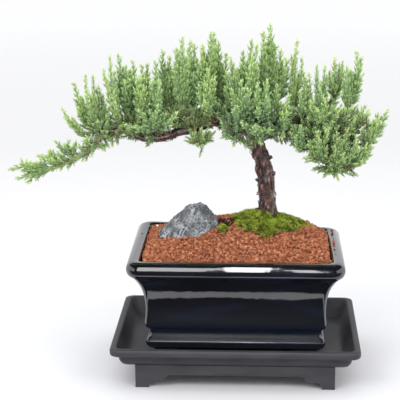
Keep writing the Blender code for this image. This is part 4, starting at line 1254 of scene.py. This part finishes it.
# Dark cards, as (name, size, place, tilt in degrees, wave of the edge near the pot), in metres.
CARDS = (
    ("dark_table", (3.2, 1.74), (0.0, -0.977, 0.004), 0.0, 0.0030),
    # A painted shadow: this dark card stands for the tray's shadow on the floor in front of it, seen only in
    # the glaze.
    ("tray_shadow_card", (0.6, 0.021), (0.0, -0.0745, 0.002), 0.0, 0.0),
    # Painted shade: a dark card just in front of the lowest bead keeps the lights out of its reflection.
    ("bead_shade_card", (0.17, 0.0213), (SHIFT[0] * MM, -0.05485, 0.037), 0.0, 0.0),
    ("dark_room", (3.6, 1.95), (0.0, -2.15, 0.98), 90.0, 0.0),
    ("dark_ceiling", (3.6, 3.7), (0.0, -0.35, 1.6), -8.0, 0.0),
)
# Lights, as (name, place, target, size, power, whether reflections alone see it), in metres and watts.
LIGHTS = (
    ("top", (0.0, 0.1, 1.3), (0.0, 0.0, 0.1), (1.6, 1.2), 5.0, False),
    ("key", (-0.7, -1.0, 1.1), (0.0, 0.0, 0.15), (0.7, 0.7), 9.0, False),
    ("fill", (0.9, -0.8, 0.8), (0.0, 0.0, 0.12), (0.6, 0.6), 4.5, False),
    ("strip", (0.042, -0.70, 0.62), (0.042, -0.06, 0.09), (0.125, 1.20), 4.6, True),
    ("sheen", (-0.24, -0.95, 0.62), (-0.02, -0.06, 0.09), (0.36, 1.05), 4.2, True),
    ("glint", (0.24, -0.95, 0.50), (0.05, -0.06, 0.09), (0.10, 0.7), 1.0, True),
)


def make_stage():
    """The floor, and cards round the camera that give the glaze its dark and pale bands."""
    bm = bmesh.new()
    bmesh.ops.create_circle(bm, cap_ends=True, segments=96, radius=5.0)
    stage_piece("floor", bm, floor_material())
    dark = card_material()
    for name, size, where, tilt, wave in CARDS:
        make_card(name, size, where, tilt, wave, dark)


def make_card(name, size, where, tilt, wave, material):
    """A dark card that only reflections see; some stand for studio cards, others are painted shadow and
    shade; wave makes the edge near the pot uneven.
    """
    bm = bmesh.new()
    bmesh.ops.create_grid(bm, x_segments=240, y_segments=1, size=0.5)
    for vert in bm.verts:
        if vert.co.y > 0:
            across = vert.co.x * size[0] * 60
            vert.co.y += wave / size[1] * (math.sin(across + 1.0) + 0.6 * math.sin(2.3 * across))
    card = stage_piece(name, bm, material)
    card.scale = (*size, 1.0)
    card.location = where
    card.rotation_euler = (math.radians(tilt), 0.0, 0.0)
    card.visible_camera = False
    card.visible_diffuse = False
    card.visible_shadow = False


def area_light(name, where, target, size, power, glossy):
    """A light for reflections alone, or with glossy off for soft light alone."""
    data = bpy.data.lights.new(name, "AREA")
    data.shape = "RECTANGLE"
    data.size, data.size_y = size
    data.energy = power
    light = new_object(name, data)
    light.location = where
    light.rotation_euler = (Vector(target) - Vector(where)).to_track_quat("-Z", "Y").to_euler()
    light.visible_glossy = glossy
    light.visible_diffuse = not glossy
    light.visible_camera = False


def make_lights():
    """A pale world all round, and the area lights."""
    world = bpy.data.worlds.new("studio")
    bpy.context.scene.world = world
    world.use_nodes = True
    background = world.node_tree.nodes["Background"]
    background.inputs["Color"].default_value = (0.965, 0.970, 0.985, 1.0)
    background.inputs["Strength"].default_value = 1.10
    for light in LIGHTS:
        area_light(*light)


def make_camera():
    """The camera that was solved from the outlines of the pot's rim and the tray."""
    data = bpy.data.cameras.new("camera")
    data.lens = 130.5
    data.sensor_width = 36.0
    data.clip_start, data.clip_end = 0.05, 50.0
    camera = new_object("camera", data)
    camera.location = (0.0222 + SHIFT[0] * MM, -1.0181, 0.3791)
    heading, pitch, roll = (math.radians(degrees) for degrees in (2.76, 75.93, -0.20))
    turn = Matrix.Rotation(heading, 3, "Z") @ Matrix.Rotation(pitch, 3, "X") @ Matrix.Rotation(roll, 3, "Z")
    camera.rotation_euler = turn.to_euler()
    bpy.context.scene.camera = camera


# ---- assembly ----


def make_plant():
    foliage = foliage_material()
    for k, (name, start, tips) in enumerate(SPRAYS):
        make_spray(name, start, tips, foliage, np.random.default_rng(100 + k))
    clothe_limbs(foliage)
    thickets(foliage)
    clothe_droop(foliage)
    make_wood(bark_material())
    make_gravel(gravel_material())
    moss = moss_material()
    rng = np.random.default_rng(5)
    moss_cushion("moss_carpet", MOSS_CENTRE, MOSS_HALF, MOSS_THICK, 11000, moss, rng, "moss_mound")
    moss_cushion("moss_sprig", TUFT_CENTRE, (TUFT_RADIUS, TUFT_RADIUS), 3.0, 420, moss, rng, "moss_tuft")
    make_stone(stone_material())


make_camera()
make_stage()
make_lights()
make_plant()
dress("drip_tray", plastic_material(), 35)
dress("glazed_pot", glaze_material(), 50)
plastic_mesh = screen_material()
dress("drain_screen_left", plastic_mesh, 30)
dress("drain_screen_right", plastic_mesh, 30)
dress("potting_soil", soil_material(), 60)

bpy.context.scene.view_settings.view_transform = "Standard"
